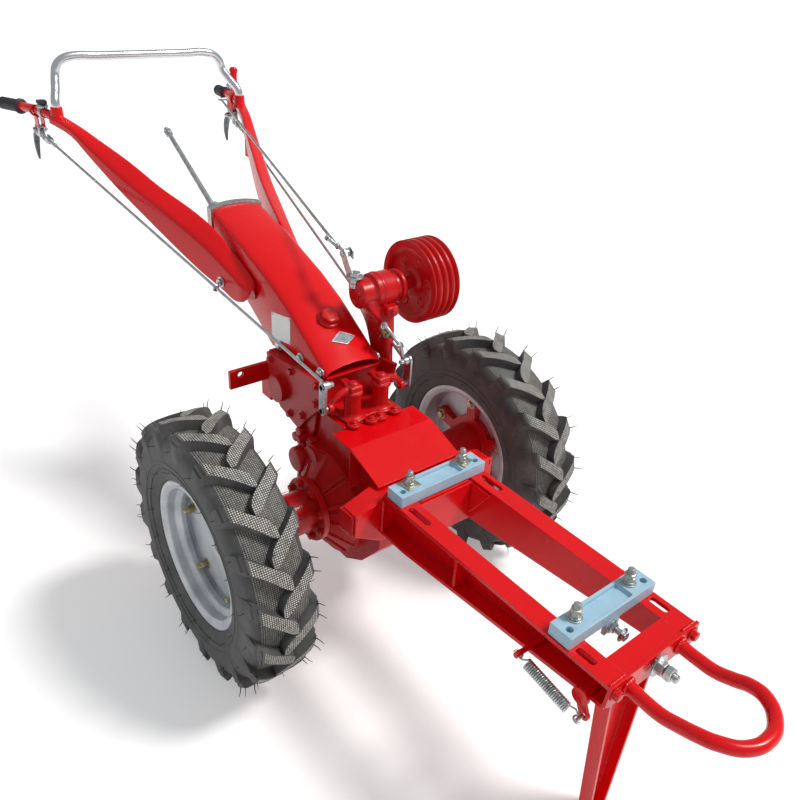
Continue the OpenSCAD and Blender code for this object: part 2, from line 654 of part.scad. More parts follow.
module front_crossmember() color(red) placed() difference() {
  union() {
    block(frame_x - 40, frame_x, -rail_in, rail_in, rail_z - 7, rail_z);
    block(frame_x - 7, frame_x, -rail_in, rail_in, rail_z - rail_shallow, rail_z - 7);
  }
  along_x(0, rail_z - 17, frame_x - 8, frame_x + 1, 8.1);
}
module front_plate() color(red) placed() {
  y = rail_out + 2;
  difference() {
    end_plate([[-y, rail_z + 3], [y, rail_z + 3], [y + 6, rail_z - 36], [y - 6, rail_z - 44],
      [-y + 6, rail_z - 44], [-y - 6, rail_z - 36]], frame_x, frame_x + 6);
    along_x(0, rail_z - 17, frame_x - 1, frame_x + 7, 8.1);
  }
  color(zinc) for (s = [-1, 1]) hex_x(s * (rail_out - 12), rail_z - 16, frame_x + 6, 9, 17);
}

tab_t = 8;
tab_z = rail_z - 13;
tab_bolt_r = 6;
module engine_mount_plate(x, has_tab = false) color("#9cc6dd") difference() {
  y = rail_out - 3;
  front = x + mount_w / 2;
  union() {
    block(x - mount_w / 2, front, -y, y, rail_z, rail_z + mount_t);
    if (has_tab) block(front - tab_t, front, -16, 20, tab_z - 14, rail_z + 1);
  }
  if (has_tab) along_x(0, tab_z, front - tab_t - 1, front + 1, tab_bolt_r + 0.05);
  block(x - mount_w / 2 + 7, x + mount_w / 2 - 7, -y + 44, y - 44,
    rail_z + mount_t - 6, rail_z + mount_t + 1);
  for (s = [-1, 1]) along_z(x + 6, s * 97, rail_z - 1, rail_z + mount_t + 1, mount_hole / 2);
}
stud_y = 71;
module mount_studs() color(zinc) placed() for (x = [mount_rear_x - 6, mount_front_x - 6]) for (s = [-1, 1]) {
  z = rail_z + mount_t;
  along_z(x, s * stud_y, z + 3, z + 46, 6.5);
  block(x - 19, x + 19, s * stud_y - 19, s * stud_y + 19, z, z + 4);
  hex_z(x, s * stud_y, z + 4, 11, 19);
  hex_z(x, s * stud_y, z + 15, 9, 19);
}

module guard_plate() color(red) placed() {
  side_plate([[37, 533], [101, 532], [203, 496], [203, 500.5], [102, 536.5], [37, 537.5]], -110, 110);
  for (s = [-1, 1]) on_side(s) block(96, 100, 80.2, 108, 430, 532.5);
}

loop_bar_r = loop_bar / 2;
loop_z = rail_z - 16;
module front_loop() color(red) placed() {
  x0 = frame_x + 6;
  r = loop_w / 2 - 8;
  xc = x0 + loop_l - r;
  half = [[x0, loop_w / 2 - 23, loop_z - 6], [x0 + 18, loop_w / 2 - 23, loop_z - 6],
    [x0 + 44, loop_w / 2 - 6, loop_z - 4], [x0 + 80, loop_w / 2, loop_z + 6]];
  curve = arc([xc, 0, loop_z + 20], r, [1, 0, 0], [0, 1, 0], 80, -80, 10);
  bar(concat(half, curve, [for (i = [len(half) - 1:-1:0]) [half[i][0], -half[i][1], half[i][2]]]),
    loop_bar_r, 12);
}

module tension_screw() color(zinc) placed() {
  along_x(0, rail_z - 17, frame_x - 12, frame_x + 50, 8);
  for (x = [frame_x + 6, frame_x + 20]) hex_x(0, rail_z - 17, x, 12, 24);
  // the bolt in the front mounting plate's tab
  tab_x = mount_front_x + mount_w / 2;
  along_x(0, tab_z, tab_x - tab_t - 14, tab_x + 24, tab_bolt_r);
  hex_x(0, tab_z, tab_x + 24, 9, 17);
  hex_x(0, tab_z, tab_x + 0.1, 9, 17);
}

// ---- parking stand ----

stand_x = 760;
stand_z = rail_z - 46;
stand_shaft_r = 9;
spring_x = 640;
spring_z = rail_z - 52;
ear_x = stand_x + 14;
ear_z = stand_z - 29;
spring_y = rail_out + 12;
module parking_stand() color(red) placed() {
  // the leg is a folded channel that runs down to a foot pad
  foot_x = stand_x + stand_lean;
  w = stand_w / 2;
  pad_z = ground_z + 7.9;
  difference() {
    union() {
      for (s = [-1, 1]) on_side(s)
        loft([[[stand_x - 14, w - 6, stand_z + 14], [stand_x - 14, w, stand_z + 14],
          [stand_x + 14, w, stand_z + 14], [stand_x + 14, w - 6, stand_z + 14]],
          [[foot_x - 16, 18, pad_z], [foot_x - 16, 24, pad_z], [foot_x + 10, 24, pad_z],
            [foot_x + 10, 18, pad_z]]]);
      loft([[[stand_x - 14, -w + 2, stand_z - 12], [stand_x - 14, w - 2, stand_z - 12],
        [stand_x - 8, w - 2, stand_z - 12], [stand_x - 8, -w + 2, stand_z - 12]],
        [[foot_x - 16, -22, pad_z], [foot_x - 16, 22, pad_z], [foot_x - 10, 22, pad_z],
          [foot_x - 10, -22, pad_z]]]);
      block(foot_x - 22, foot_x + 24, -32, 32, ground_z, pad_z + 0.1);
    }
    along_y(stand_x, stand_z, -stand_w, stand_w, stand_shaft_r + 0.05);
  }
}
module stand_shaft() color(red) placed() {
  along_y(stand_x, stand_z, -spring_y - 4, rail_in + 14, stand_shaft_r);
  // the ear that the spring hooks on
  difference() {
    union() {
      along_y(stand_x, stand_z, -spring_y - 4, -spring_y + 2, 16);
      along_y(ear_x, ear_z, -spring_y - 4, -spring_y + 2, 10);
      translate([stand_x, 0, stand_z]) rotate([0, -atan2(ear_z - stand_z, ear_x - stand_x), 0])
        block(0, norm([ear_x - stand_x, ear_z - stand_z]), -spring_y - 4, -spring_y + 2, -9, 9);
    }
    along_y(ear_x, ear_z, -spring_y - 5, -spring_y + 3, 5);
  }
}
// the spring lies outside the ear, so that the ear swings past it
module stand_spring() color(zinc) placed() {
  y = -spring_y - 17;
  d = unit([ear_x - spring_x, 0, ear_z - spring_z]);
  a = [spring_x, y, spring_z] + 5.1 * d;
  b = [ear_x, y, ear_z];
  bar([a, a + 14 * d], 3, 8);
  bar([a + 14 * d, b - 22 * d], 10, 12);
  bar([b - 22 * d, b - 2 * d], 2.5, 8);
  along_y(ear_x, ear_z, y - 2, -spring_y - 4.5, 3);
}

module tow_bracket() color(red) placed() {
  difference() {
    block(-306, -296, -178, 178, 504, 551);
    for (s = [-1, 1]) along_x(s * 150, 537, -307, -295, 8);
  }
  for (y = [-60, 52])
    side_plate([[-296, 500], [-296, 551], [-252.6, 551], [-252.4, 548], [-222.6, 500]], y, y + 8);
  block(-340, -296, -70, 70, 470, 480);
  for (y = [-70, 62])
    side_plate([[-340, 470], [-340, 440], [-296, 440], [-296, 504], [-306, 504]], y, y + 8);
}

// ---- the sub-parts ----

module placed() {
  translate([shift_x, 0, -ground_z]) children();
}
module tyre_right() placed() tyre(-1);
module tyre_left() placed() tyre(1);
module rim_right() placed() rim(-1);
module rim_left() placed() rim(1);
module axle_shaft_right() placed() axle_shaft(-1);
module axle_shaft_left() placed() axle_shaft(1);
module wheel_bolts_right() placed() wheel_bolts(-1);
module wheel_bolts_left() placed() wheel_bolts(1);
module wheel_hub_right() placed() wheel_hub(-1);
module wheel_hub_left() placed() wheel_hub(1);
module handle_arm_right() placed() handle_arm(-1);
module handle_arm_left() placed() handle_arm(1);
module handle_grip_right() placed() handle_grip(-1);
module handle_grip_left() placed() handle_grip(1);
module steering_lever_right() placed() steering_lever(-1);
module steering_lever_left() placed() steering_lever(1);
module steering_rod_right() placed() steering_rod(-1);
module steering_rod_left() placed() steering_rod(1);
module steering_link_right() placed() steering_link(-1);
module steering_link_left() placed() steering_link(1);
module frame_rail_right() placed() frame_rail(-1);
module frame_rail_left() placed() frame_rail(1);
module mount_plate_rear() placed() engine_mount_plate(mount_rear_x);
module mount_plate_front() placed() engine_mount_plate(mount_front_x, true);

tyre_right();
tyre_left();
rim_right();
rim_left();
wheel_hub_right();
wheel_hub_left();
wheel_bolts_right();
wheel_bolts_left();
final_drive_case();
axle_shaft_right();
axle_shaft_left();
gearbox_case();
gearbox_side_covers();
steering_turrets();
handlebar_hood();
hood_rear_cover();
data_plate();
filler_plug();
gear_lever();
handle_arm_right();
handle_arm_left();
handle_grip_right();
handle_grip_left();
cross_tube();
steering_lever_right();
steering_lever_left();
steering_rod_right();
steering_rod_left();
steering_link_right();
steering_link_left();
clutch_lever();
clutch_rods();
throttle_lever();
clutch_housing();
clutch_bellcrank();
clutch_pulley();
frame_rail_right();
frame_rail_left();
frame_cross_plate();
frame_bolster();
front_crossmember();
front_plate();
mount_plate_rear();
mount_plate_front();
mount_studs();
guard_plate();
front_loop();
tension_screw();
parking_stand();
stand_shaft();
stand_spring();
tow_bracket();
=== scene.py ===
"""Looks for a walk-behind tractor chassis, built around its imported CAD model. Metres, +X forward, +Z up."""
import math
import random
from functools import partial

import bpy
from mathutils import Matrix, Vector


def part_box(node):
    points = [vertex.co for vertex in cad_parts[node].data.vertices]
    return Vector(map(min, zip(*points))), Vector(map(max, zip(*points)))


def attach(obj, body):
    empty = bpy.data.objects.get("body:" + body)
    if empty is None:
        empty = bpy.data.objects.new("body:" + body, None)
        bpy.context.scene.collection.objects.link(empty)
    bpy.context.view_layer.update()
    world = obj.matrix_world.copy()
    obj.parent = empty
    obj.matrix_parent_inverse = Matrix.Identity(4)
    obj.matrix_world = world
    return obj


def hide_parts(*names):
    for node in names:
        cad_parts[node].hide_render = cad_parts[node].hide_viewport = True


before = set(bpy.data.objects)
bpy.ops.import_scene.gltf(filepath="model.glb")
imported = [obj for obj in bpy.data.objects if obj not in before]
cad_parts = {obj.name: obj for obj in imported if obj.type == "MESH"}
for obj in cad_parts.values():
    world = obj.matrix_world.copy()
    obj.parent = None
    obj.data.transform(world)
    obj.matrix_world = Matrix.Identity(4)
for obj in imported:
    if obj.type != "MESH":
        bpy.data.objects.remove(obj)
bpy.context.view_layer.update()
bpy.ops.object.select_all(action="DESELECT")

MM = 0.001
AHEAD, ACROSS, UP = Vector((1, 0, 0)), Vector((0, 1, 0)), Vector((0, 0, 1))
SIDES = {-1: "right", 1: "left"}

# ---- places ----

tyre_low, tyre_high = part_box("tyre_right")
AXLE_X, wheel_y, AXLE_Z = (tyre_low + tyre_high) / 2
WHEEL_Y = abs(wheel_y)
TYRE_R = AXLE_Z


def at(x, y, z):
    """A point given in millimetres ahead of the axle, to the left and above the axle."""
    return Vector((AXLE_X + x * MM, y * MM, AXLE_Z + z * MM))


def path(*points, side=1):
    """Points that are drawn on the left, on one side of the machine."""
    return [at(x, side * y, z) for x, y, z in points]


def polar(x, y, z, radius, degrees):
    """A point on a circle that faces sideways."""
    angle = math.radians(degrees)
    return at(x + radius * math.cos(angle), y, z + radius * math.sin(angle))


def circle(x, y, z, radius):
    """A closed route round a circle that faces forward."""
    angles = [k * math.pi / 8 for k in range(17)]
    return [at(x, y + radius * math.cos(a), z + radius * math.sin(a)) for a in angles]


# ---- nodes and colours ----

def linear(hex_colour):
    """An sRGB hex colour as the linear colour that Blender's sockets take."""
    shares = [int(hex_colour[i:i + 2], 16) / 255 for i in (1, 3, 5)]
    return tuple(c / 12.92 if c <= 0.04045 else ((c + 0.055) / 1.055) ** 2.4 for c in shares) + (1.0,)


# each kind of node: its type, its settings, the inputs that its values go to, its output (None: all of them)
KINDS = {
    "place": ("ShaderNodeTexCoord", {}, (), "Object"),
    "normal": ("ShaderNodeNewGeometry", {}, (), "Normal"),
    "flat_normal": ("ShaderNodeNewGeometry", {}, (), "True Normal"),
    "rays": ("ShaderNodeLightPath", {}, (), None),
    "noise": ("ShaderNodeTexNoise", {}, ("Vector", "Scale", "Detail", "Roughness"), "Fac"),
    "ramp": ("ShaderNodeValToRGB", {}, (0,), "Color"),
    "range": ("ShaderNodeMapRange", {}, (0, 3, 4), 0),
    "mix": ("ShaderNodeMix", {"data_type": "RGBA"}, (0, 6, 7), 2),
    "bump": ("ShaderNodeBump", {}, ("Height", "Distance", "Strength", "Normal"), 0),
    "soft_edges": ("ShaderNodeBevel", {"samples": 6}, ("Radius",), 0),
    "split": ("ShaderNodeSeparateXYZ", {}, (0,), None),
    "offset": ("ShaderNodeVectorMath", {"operation": "SUBTRACT"}, (0, 1), 0),
    "stretch": ("ShaderNodeVectorMath", {"operation": "MULTIPLY"}, (0, 1), 0),
    "unit": ("ShaderNodeVectorMath", {"operation": "NORMALIZE"}, (0,), 0),
    "length": ("ShaderNodeVectorMath", {"operation": "LENGTH"}, (0,), "Value"),
    "dot": ("ShaderNodeVectorMath", {"operation": "DOT_PRODUCT"}, (0, 1), "Value"),
    "matt": ("ShaderNodeBsdfDiffuse", {}, ("Color",), 0),
    "glow": ("ShaderNodeEmission", {}, ("Color", "Strength"), 0),
    "sky": ("ShaderNodeBackground", {}, ("Color", "Strength"), 0),
    "sum": ("ShaderNodeAddShader", {}, (0, 1), 0),
    "choice": ("ShaderNodeMixShader", {}, (0, 1, 2), 0),
    "surface": ("ShaderNodeOutputMaterial", {}, ("Surface",), None),
    "world": ("ShaderNodeOutputWorld", {}, ("Surface",), None),
}
for what in ("ADD", "SUBTRACT", "MULTIPLY", "MULTIPLY_ADD", "MINIMUM", "MAXIMUM", "ABSOLUTE", "ARCTAN2", "SINE"):
    KINDS[what.lower()] = ("ShaderNodeMath", {"operation": what}, (0, 1, 2), 0)


def feed(tree, node, inputs):
    """Links or sets a node's inputs; a text is a hex colour."""
    for key, value in inputs.items():
        if isinstance(value, bpy.types.NodeSocket):
            tree.links.new(value, node.inputs[key])
        else:
            node.inputs[key].default_value = linear(value) if isinstance(value, str) else value


def add(tree, kind, *values, stops=()):
    """Adds a node with its settings and links and gives its output; a ramp's stop is (position, hex or grey)."""
    type_name, settings, inputs, output = KINDS[kind]
    node = tree.nodes.new(type_name)
    for key, value in settings.items():
        setattr(node, key, value)
    feed(tree, node, dict(zip(inputs, values)))
    if stops:
        elements = node.color_ramp.elements
        while len(elements) < len(stops):
            elements.new(0.5)
        for element, (position, colour) in zip(elements, stops):
            element.position = position
            element.color = linear(colour) if isinstance(colour, str) else (colour, colour, colour, 1)
    return node.outputs if output is None else node.outputs[output]


def new_material(name, finish_of, *details):
    """A material whose finish says what the shader's own inputs are."""
    material = bpy.data.materials.new(name)
    material.use_nodes = True
    tree = material.node_tree
    node = partial(add, tree)
    feed(tree, tree.nodes["Principled BSDF"], finish_of(node, node("place"), *details))
    return material


# ---- finishes; a noise's scale is 1000 over the width of its blots in millimetres ----

def edge_share(node, rounded):
    """How close a point is to an outer or inner edge, from 0 to 1."""
    bend = node("subtract", 1.0, node("dot", rounded, node("normal")))
    return node("minimum", node("multiply", bend, 5.0), 1.0)


def enamel_on_sheet_steel(node, place, colour, worn, dusty):
    """Alkyd enamel, sprayed and air dried: deep gloss with orange peel, runs that follow the sheet's waves,
    and a paler pink on the edges that is partly chips where the paint is thin and partly a painted highlight."""
    rounded = node("soft_edges", 1.6 * MM)
    film = node("multiply", node("noise", place, 1000 / 120, 4), 0.4)
    chips = node("ramp", node("noise", place, 1000 / 7, 5, 0.7), stops=[(0.45, 0.0), (0.6, 1.0)])
    # paler pink on the edges: partly chipped paint, partly a painted highlight along the edges
    chipped_and_highlit_edges = node("multiply", node("multiply", edge_share(node, rounded), chips), 0.5)
    wave = node("bump", node("noise", place, 1000 / 110, 2), 0.5 * MM, 0.35, rounded)
    return {
        "Base Color": node("mix", chipped_and_highlit_edges, node("mix", film, colour, dusty), worn),
        "Roughness": node("range", node("noise", place, 1000 / 40, 5), 0.16, 0.34),
        "IOR": 1.52,
        "Specular IOR Level": 0.26,
        "Coat Weight": 0.1,
        "Coat Roughness": 0.06,
        "Normal": node("bump", node("noise", place, 1000 / 3.5, 2), 0.06 * MM, 0.6, wave),
    }


def enamel_on_sand_casting(node, place, colour, dusty):
    """The same enamel over grey iron as it left the sand: the grain of the mould shows through, the gloss
    is broken and the corners are paler, partly worn and partly a painted highlight."""
    rounded = node("soft_edges", 3 * MM)
    grain = node("noise", place, 1000 / 5, 4, 0.6)
    lumps = node("noise", place, 1000 / 28, 3)
    tone = node("mix", node("multiply", lumps, 0.45), colour, dusty)
    cast = node("bump", lumps, 1.6 * MM, 0.6, rounded)
    return {
        # f0605a on the edges: partly worn paint, partly a painted highlight
        "Base Color": node("mix", node("multiply", edge_share(node, rounded), 0.25), tone, "#f0605a"),
        "Roughness": node("range", grain, 0.24, 0.5),
        "IOR": 1.52,
        "Specular IOR Level": 0.3,
        "Coat Weight": 0.1,
        "Coat Roughness": 0.12,
        "Normal": node("bump", grain, 0.35 * MM, 0.6, cast),
    }


def satin_enamel(node, place, colour, pale, worn):
    """Satin enamel on milled steel bars: even and dull, rubbed paler at the edges."""
    rounded = node("soft_edges", 1.2 * MM)
    tone = node("mix", node("noise", place, 1000 / 35, 5, 0.6), colour, pale)
    return {
        "Base Color": node("mix", node("multiply", edge_share(node, rounded), 0.4), tone, worn),
        "Roughness": 0.38,
        "IOR": 1.5,
        "Normal": node("bump", node("noise", place, 1000 / 3, 3), 0.1 * MM, 0.6, rounded),
    }


def plated_steel(node, place, colour, stain, rough_low, rough_high):
    """Zinc plate, or the film on blackened or anodised metal: a soft sheen with faint clouds and rubbed spots."""
    cloud = node("noise", place, 1000 / 14, 4, 0.6)
    spots = node("ramp", cloud, stops=[(0.4, 0.0), (0.7, 1.0)])
    return {
        "Base Color": node("mix", spots, colour, stain),
        "Metallic": 1.0,
        "Roughness": node("range", cloud, rough_low, rough_high),
        "Normal": node("bump", node("noise", place, 1000 / 2, 3), 0.05 * MM, 0.6, node("soft_edges", 0.8 * MM)),
    }


def bright_chrome(node, place):
    """Chromium plated tube, polished: near mirror, with a little dust in broad clouds."""
    dust = node("noise", place, 1000 / 60, 5, 0.6)
    return {
        "Base Color": node("mix", dust, "#e4e6e8", "#c2c5c8"),
        "Metallic": 1.0,
        "Roughness": node("range", dust, 0.2, 0.32),
        "Normal": node("bump", node("noise", place, 1000 / 60, 2), 0.1 * MM, 0.2),
    }


def aluminium_paint(node, place):
    """Silver paint on a pressed steel rim: aluminium flakes in lacquer, dull, with grey dirt in clouds."""
    dirt = node("noise", place, 1000 / 70, 5, 0.65)
    tone = node("mix", node("ramp", dirt, stops=[(0.42, 0.0), (0.68, 1.0)]), "#c6cacf", "#a4a9af")
    flake = node("multiply", node("noise", place, 1000 / 1.5, 2), 0.25)
    return {
        "Base Color": node("mix", flake, tone, "#eceef0"),
        "Metallic": 0.4,
        "Roughness": node("range", dirt, 0.32, 0.55),
        "Normal": node("bump", node("noise", place, 1000 / 4, 3), 0.12 * MM, 0.5, node("soft_edges", 2 * MM)),
    }


# radians to the metre: of the knurl, coarse enough to show with the whole machine in view, and of the walls' rings
KNURL = 2 * math.pi / (8.5 * MM)
WALL_RINGS = 2 * math.pi / (2.4 * MM)


def tyre_rubber(node, place):
    """Farm tyre rubber, vulcanised in an engraved mould and dusty from the yard: a diamond knurl stands on the
    lugs and between them, its raised diamonds with a painted highlight that is palest on the lug tops and
    patchy with dust, its pits in a darker painted shade; the flanks and the walls left the mould smooth,
    and without that painted highlight they are darker."""
    spoke = node("stretch", node("offset", place, (AXLE_X, 0, AXLE_Z)), (1, 0, 1))
    x, _, z = node("split", spoke)
    radius = node("length", spoke)
    along = node("multiply", node("arctan2", z, x), TYRE_R)
    across = node("subtract", node("absolute", node("split", place)["Y"]), WHEEL_Y)
    flat = node("ramp", node("dot", node("unit", spoke), node("flat_normal")), stops=[(0.8, 0.0), (0.93, 1.0)])
    tread = node("ramp", node("multiply", node("absolute", across), 10), stops=[(0.56, 1.0), (0.6, 0.0)])
    knurled = node("multiply", flat, tread)
    waves = [node("sine", node("multiply", node(what, along, across), KNURL)) for what in ("add", "subtract")]
    diamond = node("multiply_add", node("multiply", *waves), 0.5, 0.5)
    height = node("multiply", node("ramp", diamond, stops=[(0.5, 0.0), (0.62, 1.0)]), knurled)
    dust = node("noise", place, 1000 / 60, 5, 0.6)
    fine = node("noise", place, 1000 / 2.5, 3, 0.6)
    smooth = node("ramp", dust, stops=[(0.3, "#303134"), (0.52, "#444546"), (0.75, "#646363")])
    # the knurled tread's darker base, which shows in the knurl's pits: painted shade
    between = node("ramp", dust, stops=[(0.3, "#272727"), (0.55, "#373736"), (0.75, "#4e4c49")])
    # the raised knurl's pale colour, from the tread's floor up to the lug tops: a painted highlight, palest on the
    # tops
    lug_height = node("multiply_add", radius, 100, -100 * (TYRE_R - 16 * MM))
    dusty = node("ramp", lug_height, stops=[(0.2, "#a3a19a"), (0.9, "#dbd9d1")])
    # patches of dust that make the painted highlight on the knurl stronger or weaker
    worn = node("ramp", node("noise", place, 1000 / 11, 4, 0.65), stops=[(0.36, 0.45), (0.56, 0.96)])
    tone = node("mix", node("multiply", height, worn), node("mix", knurled, smooth, between), dusty)
    rings = node("sine", node("multiply", radius, WALL_RINGS))
    walls = node("multiply", rings, node("subtract", 1.0, flat))
    relief = node("bump", walls, 0.05 * MM, 0.5, node("bump", height, 1.0 * MM, 1.0))
    return {
        "Base Color": node("mix", node("multiply", fine, 0.12), tone, "#8a887f"),
        "Roughness": node("range", dust, 0.5, 0.8),
        "IOR": 1.52,
        "Normal": node("bump", fine, 0.18 * MM, 0.5, relief),
    }


def moulded_rubber(node, place):
    """Soft PVC of a grip, or a tyre's flash: near black and matt, with a fine grain."""
    return {
        "Base Color": node("mix", node("noise", place, 1000 / 25, 4, 0.6), "#17171b", "#2f3038"),
        "Roughness": 0.5,
        "Normal": node("bump", node("noise", place, 1000 / 2.5, 3), 0.2 * MM, 0.6),
    }


def white_lacquer(node, place):
    """White stoving lacquer on thin aluminium sheet: smooth, yellowed in clouds, with rubbed spots."""
    cloud = node("noise", place, 1000 / 22, 4, 0.6)
    spots = node("ramp", node("noise", place, 1000 / 4, 4, 0.7), stops=[(0.62, 0.0), (0.7, 1.0)])
    tone = node("mix", cloud, "#ffffff", "#ecece8")
    return {
        "Base Color": node("mix", node("multiply", spots, 0.35), tone, "#a9a79f"),
        "Roughness": node("range", cloud, 0.28, 0.45),
        "Normal": node("bump", node("noise", place, 1000 / 5, 2), 0.04 * MM, 0.5),
    }


# the sheet's second colour, #ef6a60, goes on the edges: partly chipped paint, partly a painted highlight
RED_SHEET = new_material("red_alkyd_enamel_on_sheet", enamel_on_sheet_steel, "#e2060f", "#ef6a60", "#bd060d")
RED_CAST = new_material("red_alkyd_enamel_on_casting", enamel_on_sand_casting, "#cf070e", "#9c040a")
BLUE_BAR = new_material("blue_satin_enamel", satin_enamel, "#8bb4cc", "#b0d0e0", "#d5dee2")
ZINC = new_material("blue_passivated_zinc", plated_steel, "#c3c8c9", "#9da3a3", 0.28, 0.48)
PALE_ZINC = new_material("pale_yellow_zinc", plated_steel, "#cfcabb", "#9a9480", 0.28, 0.45)
YELLOW_ZINC = new_material("yellow_passivated_zinc", plated_steel, "#b9b08c", "#8f8460", 0.34, 0.55)
GREY_BLADE = new_material("blackened_steel_lever", plated_steel, "#70747a", "#4c5056", 0.34, 0.5)
BADGE = new_material("satin_anodised_badge", plated_steel, "#b9bdc1", "#94989c", 0.3, 0.45)
CHROME = new_material("chromed_tube", bright_chrome)
SILVER = new_material("aluminium_paint_on_rim", aluminium_paint)
TREAD = new_material("vulcanised_tyre_rubber", tyre_rubber)
FLASH = new_material("rubber_flash", moulded_rubber)
GRIP = new_material("black_pvc_grip", moulded_rubber)
WHITE_PLATE = new_material("white_lacquered_aluminium", white_lacquer)

# how the names of the CAD nodes begin that are not red sheet steel
CAD_FINISH = {
    RED_CAST: ("final_drive_case", "gearbox_case", "gearbox_side_covers", "steering_turrets", "clutch_housing",
               "clutch_pulley", "wheel_hub_", "filler_plug"),
    BLUE_BAR: ("mount_plate_",),
    ZINC: ("axle_shaft_", "gear_lever", "steering_rod_", "steering_link_", "clutch_rods", "clutch_bellcrank",
           "steering_lever_", "throttle_lever", "mount_studs", "stand_spring", "tension_screw", "hood_rear_cover"),
    WHITE_PLATE: ("data_plate",),
    YELLOW_ZINC: ("wheel_bolts_",),
    CHROME: ("cross_tube",),
    SILVER: ("rim_",),
    TREAD: ("tyre_",),
    GRIP: ("handle_grip_",),
}


def paint(thing, material):
    thing.data.materials.clear()
    thing.data.materials.append(material)


for node_name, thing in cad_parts.items():
    paint(thing, next((m for m, starts in CAD_FINISH.items() if node_name.startswith(starts)), RED_SHEET))


# ---- ways of making pieces; sizes are in millimetres, places in metres ----

def edit(piece, choose=None):
    """Enters edit mode on a piece with everything selected, or only the vertices that choose() accepts."""
    bpy.context.view_layer.objects.active = piece
    bpy.ops.object.mode_set(mode="OBJECT")
    mesh = piece.data
    for vertex in mesh.vertices:
        vertex.select = choose is None or choose(vertex.co)
    for element in [*mesh.edges, *mesh.polygons]:
        element.select = all(mesh.vertices[i].select for i in element.vertices)
    bpy.ops.object.mode_set(mode="EDIT")
    bpy.ops.mesh.select_mode(type="VERT")


def leave():
    bpy.ops.object.mode_set(mode="OBJECT")


def face_out(piece, merge=0.0):
    """Merges vertices that lie closer than a distance in metres, and turns all faces outwards."""
    edit(piece)
    if merge:
        bpy.ops.mesh.remove_doubles(threshold=merge)
    bpy.ops.mesh.normals_make_consistent(inside=False)
    leave()


def only(*pieces):
    """Selects these pieces alone; the first is the active one."""
    bpy.ops.object.select_all(action="DESELECT")
    for piece in pieces:
        piece.select_set(True)
    bpy.context.view_layer.objects.active = pieces[0]


def newest(name):
    """The object that was just added, under its name."""
    bpy.context.object.name = name
    return bpy.context.object


def modify(piece, kind, **settings):
    """Adds a modifier and applies it."""
    only(piece)
    modifier = piece.modifiers.new(kind.lower(), kind)
    for key, value in settings.items():
        setattr(modifier, key, value)
    bpy.ops.object.modifier_apply(modifier=modifier.name)


def round_off(piece, width, segments=3, angle=30):
    """Breaks the edges that are sharper than an angle."""
    modify(piece, "BEVEL", width=width * MM, segments=segments, limit_method="ANGLE",
           angle_limit=math.radians(angle))
    return piece


def bake(piece):
    """Puts a piece's place into its mesh."""
    only(piece)
    bpy.ops.object.transform_apply(location=True, rotation=True, scale=True)
    return piece


def settle(piece, angle=32):
    """Puts a piece's place into its mesh and smooths its faces up to an angle."""
    bake(piece)
    bpy.ops.object.shade_smooth_by_angle(angle=math.radians(angle))
    return piece


def stance(place, axis=UP):
    """The matrix that takes the origin to a place and +Z onto an axis."""
    return Matrix.Translation(place) @ UP.rotation_difference(Vector(axis)).to_matrix().to_4x4()


def stand(piece, place, axis=UP, angle=32):
    """Moves a piece to a place with its +Z along an axis."""
    piece.matrix_world = stance(place, axis)
    return settle(piece, angle)


def twin(piece):
    """A copy of a piece with its own mesh."""
    copy = piece.copy()
    copy.data = piece.data.copy()
    bpy.context.scene.collection.objects.link(copy)
    return copy


def put(piece, place, axis=UP, spin=0.0, scale=1.0):
    """A copy of a piece, stood at a place with its +Z along an axis."""
    copy = twin(piece)
    copy.matrix_world = stance(place, axis) @ Matrix.Rotation(math.radians(spin), 4, "Z") @ Matrix.Scale(scale, 4)
    return bake(copy)


def mirrored(piece):
    """A copy on the machine's other side."""
    copy = twin(piece)
    copy.scale = (1, -1, 1)
    bake(copy)
    face_out(copy)
    return copy


def discard(*pieces):
    for piece in pieces:
        bpy.data.objects.remove(piece)


def copies(piece, places):
    """Copies of a piece at each (place, axis, spin, scale), instead of the piece."""
    result = [put(piece, *place) for place in places]
    discard(piece)
    return result


def joined(name, pieces):
    only(*pieces)
    if len(pieces) > 1:
        bpy.ops.object.join()
    pieces[0].name = name
    return pieces[0]


def finish(name, parts, material, replaces=(), body="chassis"):
    """Joins parts into a piece with its material and its body, and hides the CAD nodes it stands for."""
    piece = joined(name, parts)
    paint(piece, material)
    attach(piece, body)
    if replaces:
        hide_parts(*replaces)


def both_sides(name, make, material, node=None):
    """Finishes a piece whose parts are drawn on the left, and its mirror image."""
    left = joined(name, make())
    for piece, side in ((left, "_left"), (mirrored(left), "_right")):
        finish(name + side, [piece], material, [node + side] if node else ())


def block(name, low, high, edge=0.0, steps=2):
    """A block between two corners with its edges broken."""
    low, high = Vector(low), Vector(high)
    bpy.ops.mesh.primitive_cube_add(size=1, location=(low + high) / 2, scale=high - low)
    piece = bake(newest(name))
    return round_off(piece, edge, steps) if edge else piece


def disc(radius, low, high):
    """The lathe profile of a solid disc."""
    return [(0, low), (radius, low), (radius, high), (0, high)]


def ring(inner, outer, low, high):
    """The lathe profile of a ring."""
    return [(inner, low), (outer, low), (outer, high), (inner, high), (inner, low)]


def rounded(profile, radius, steps=2):
    """A lathe profile or an outline with its corners rounded."""
    points = [Vector(p) for p in profile]
    result = [points[0]]
    for before, corner, after in zip(points, points[1:], points[2:]):
        cut = min(radius, (before - corner).length * 0.45, (after - corner).length * 0.45)
        start = corner + (before - corner).normalized() * cut
        end = corner + (after - corner).normalized() * cut
        for t in (i / steps for i in range(steps + 1)):
            result.append(start * (1 - t) ** 2 + corner * 2 * t * (1 - t) + end * t ** 2)
    return result + [points[-1]]


def rounded_box(u0, u1, v0, v1, radius, steps=2):
    """A box with round corners as a closed outline, from the middle of its first side."""
    return rounded([(0, v0), (u0, v0), (u0, v1), (u1, v1), (u1, v0), (0, v0)], radius, steps)[:-1]


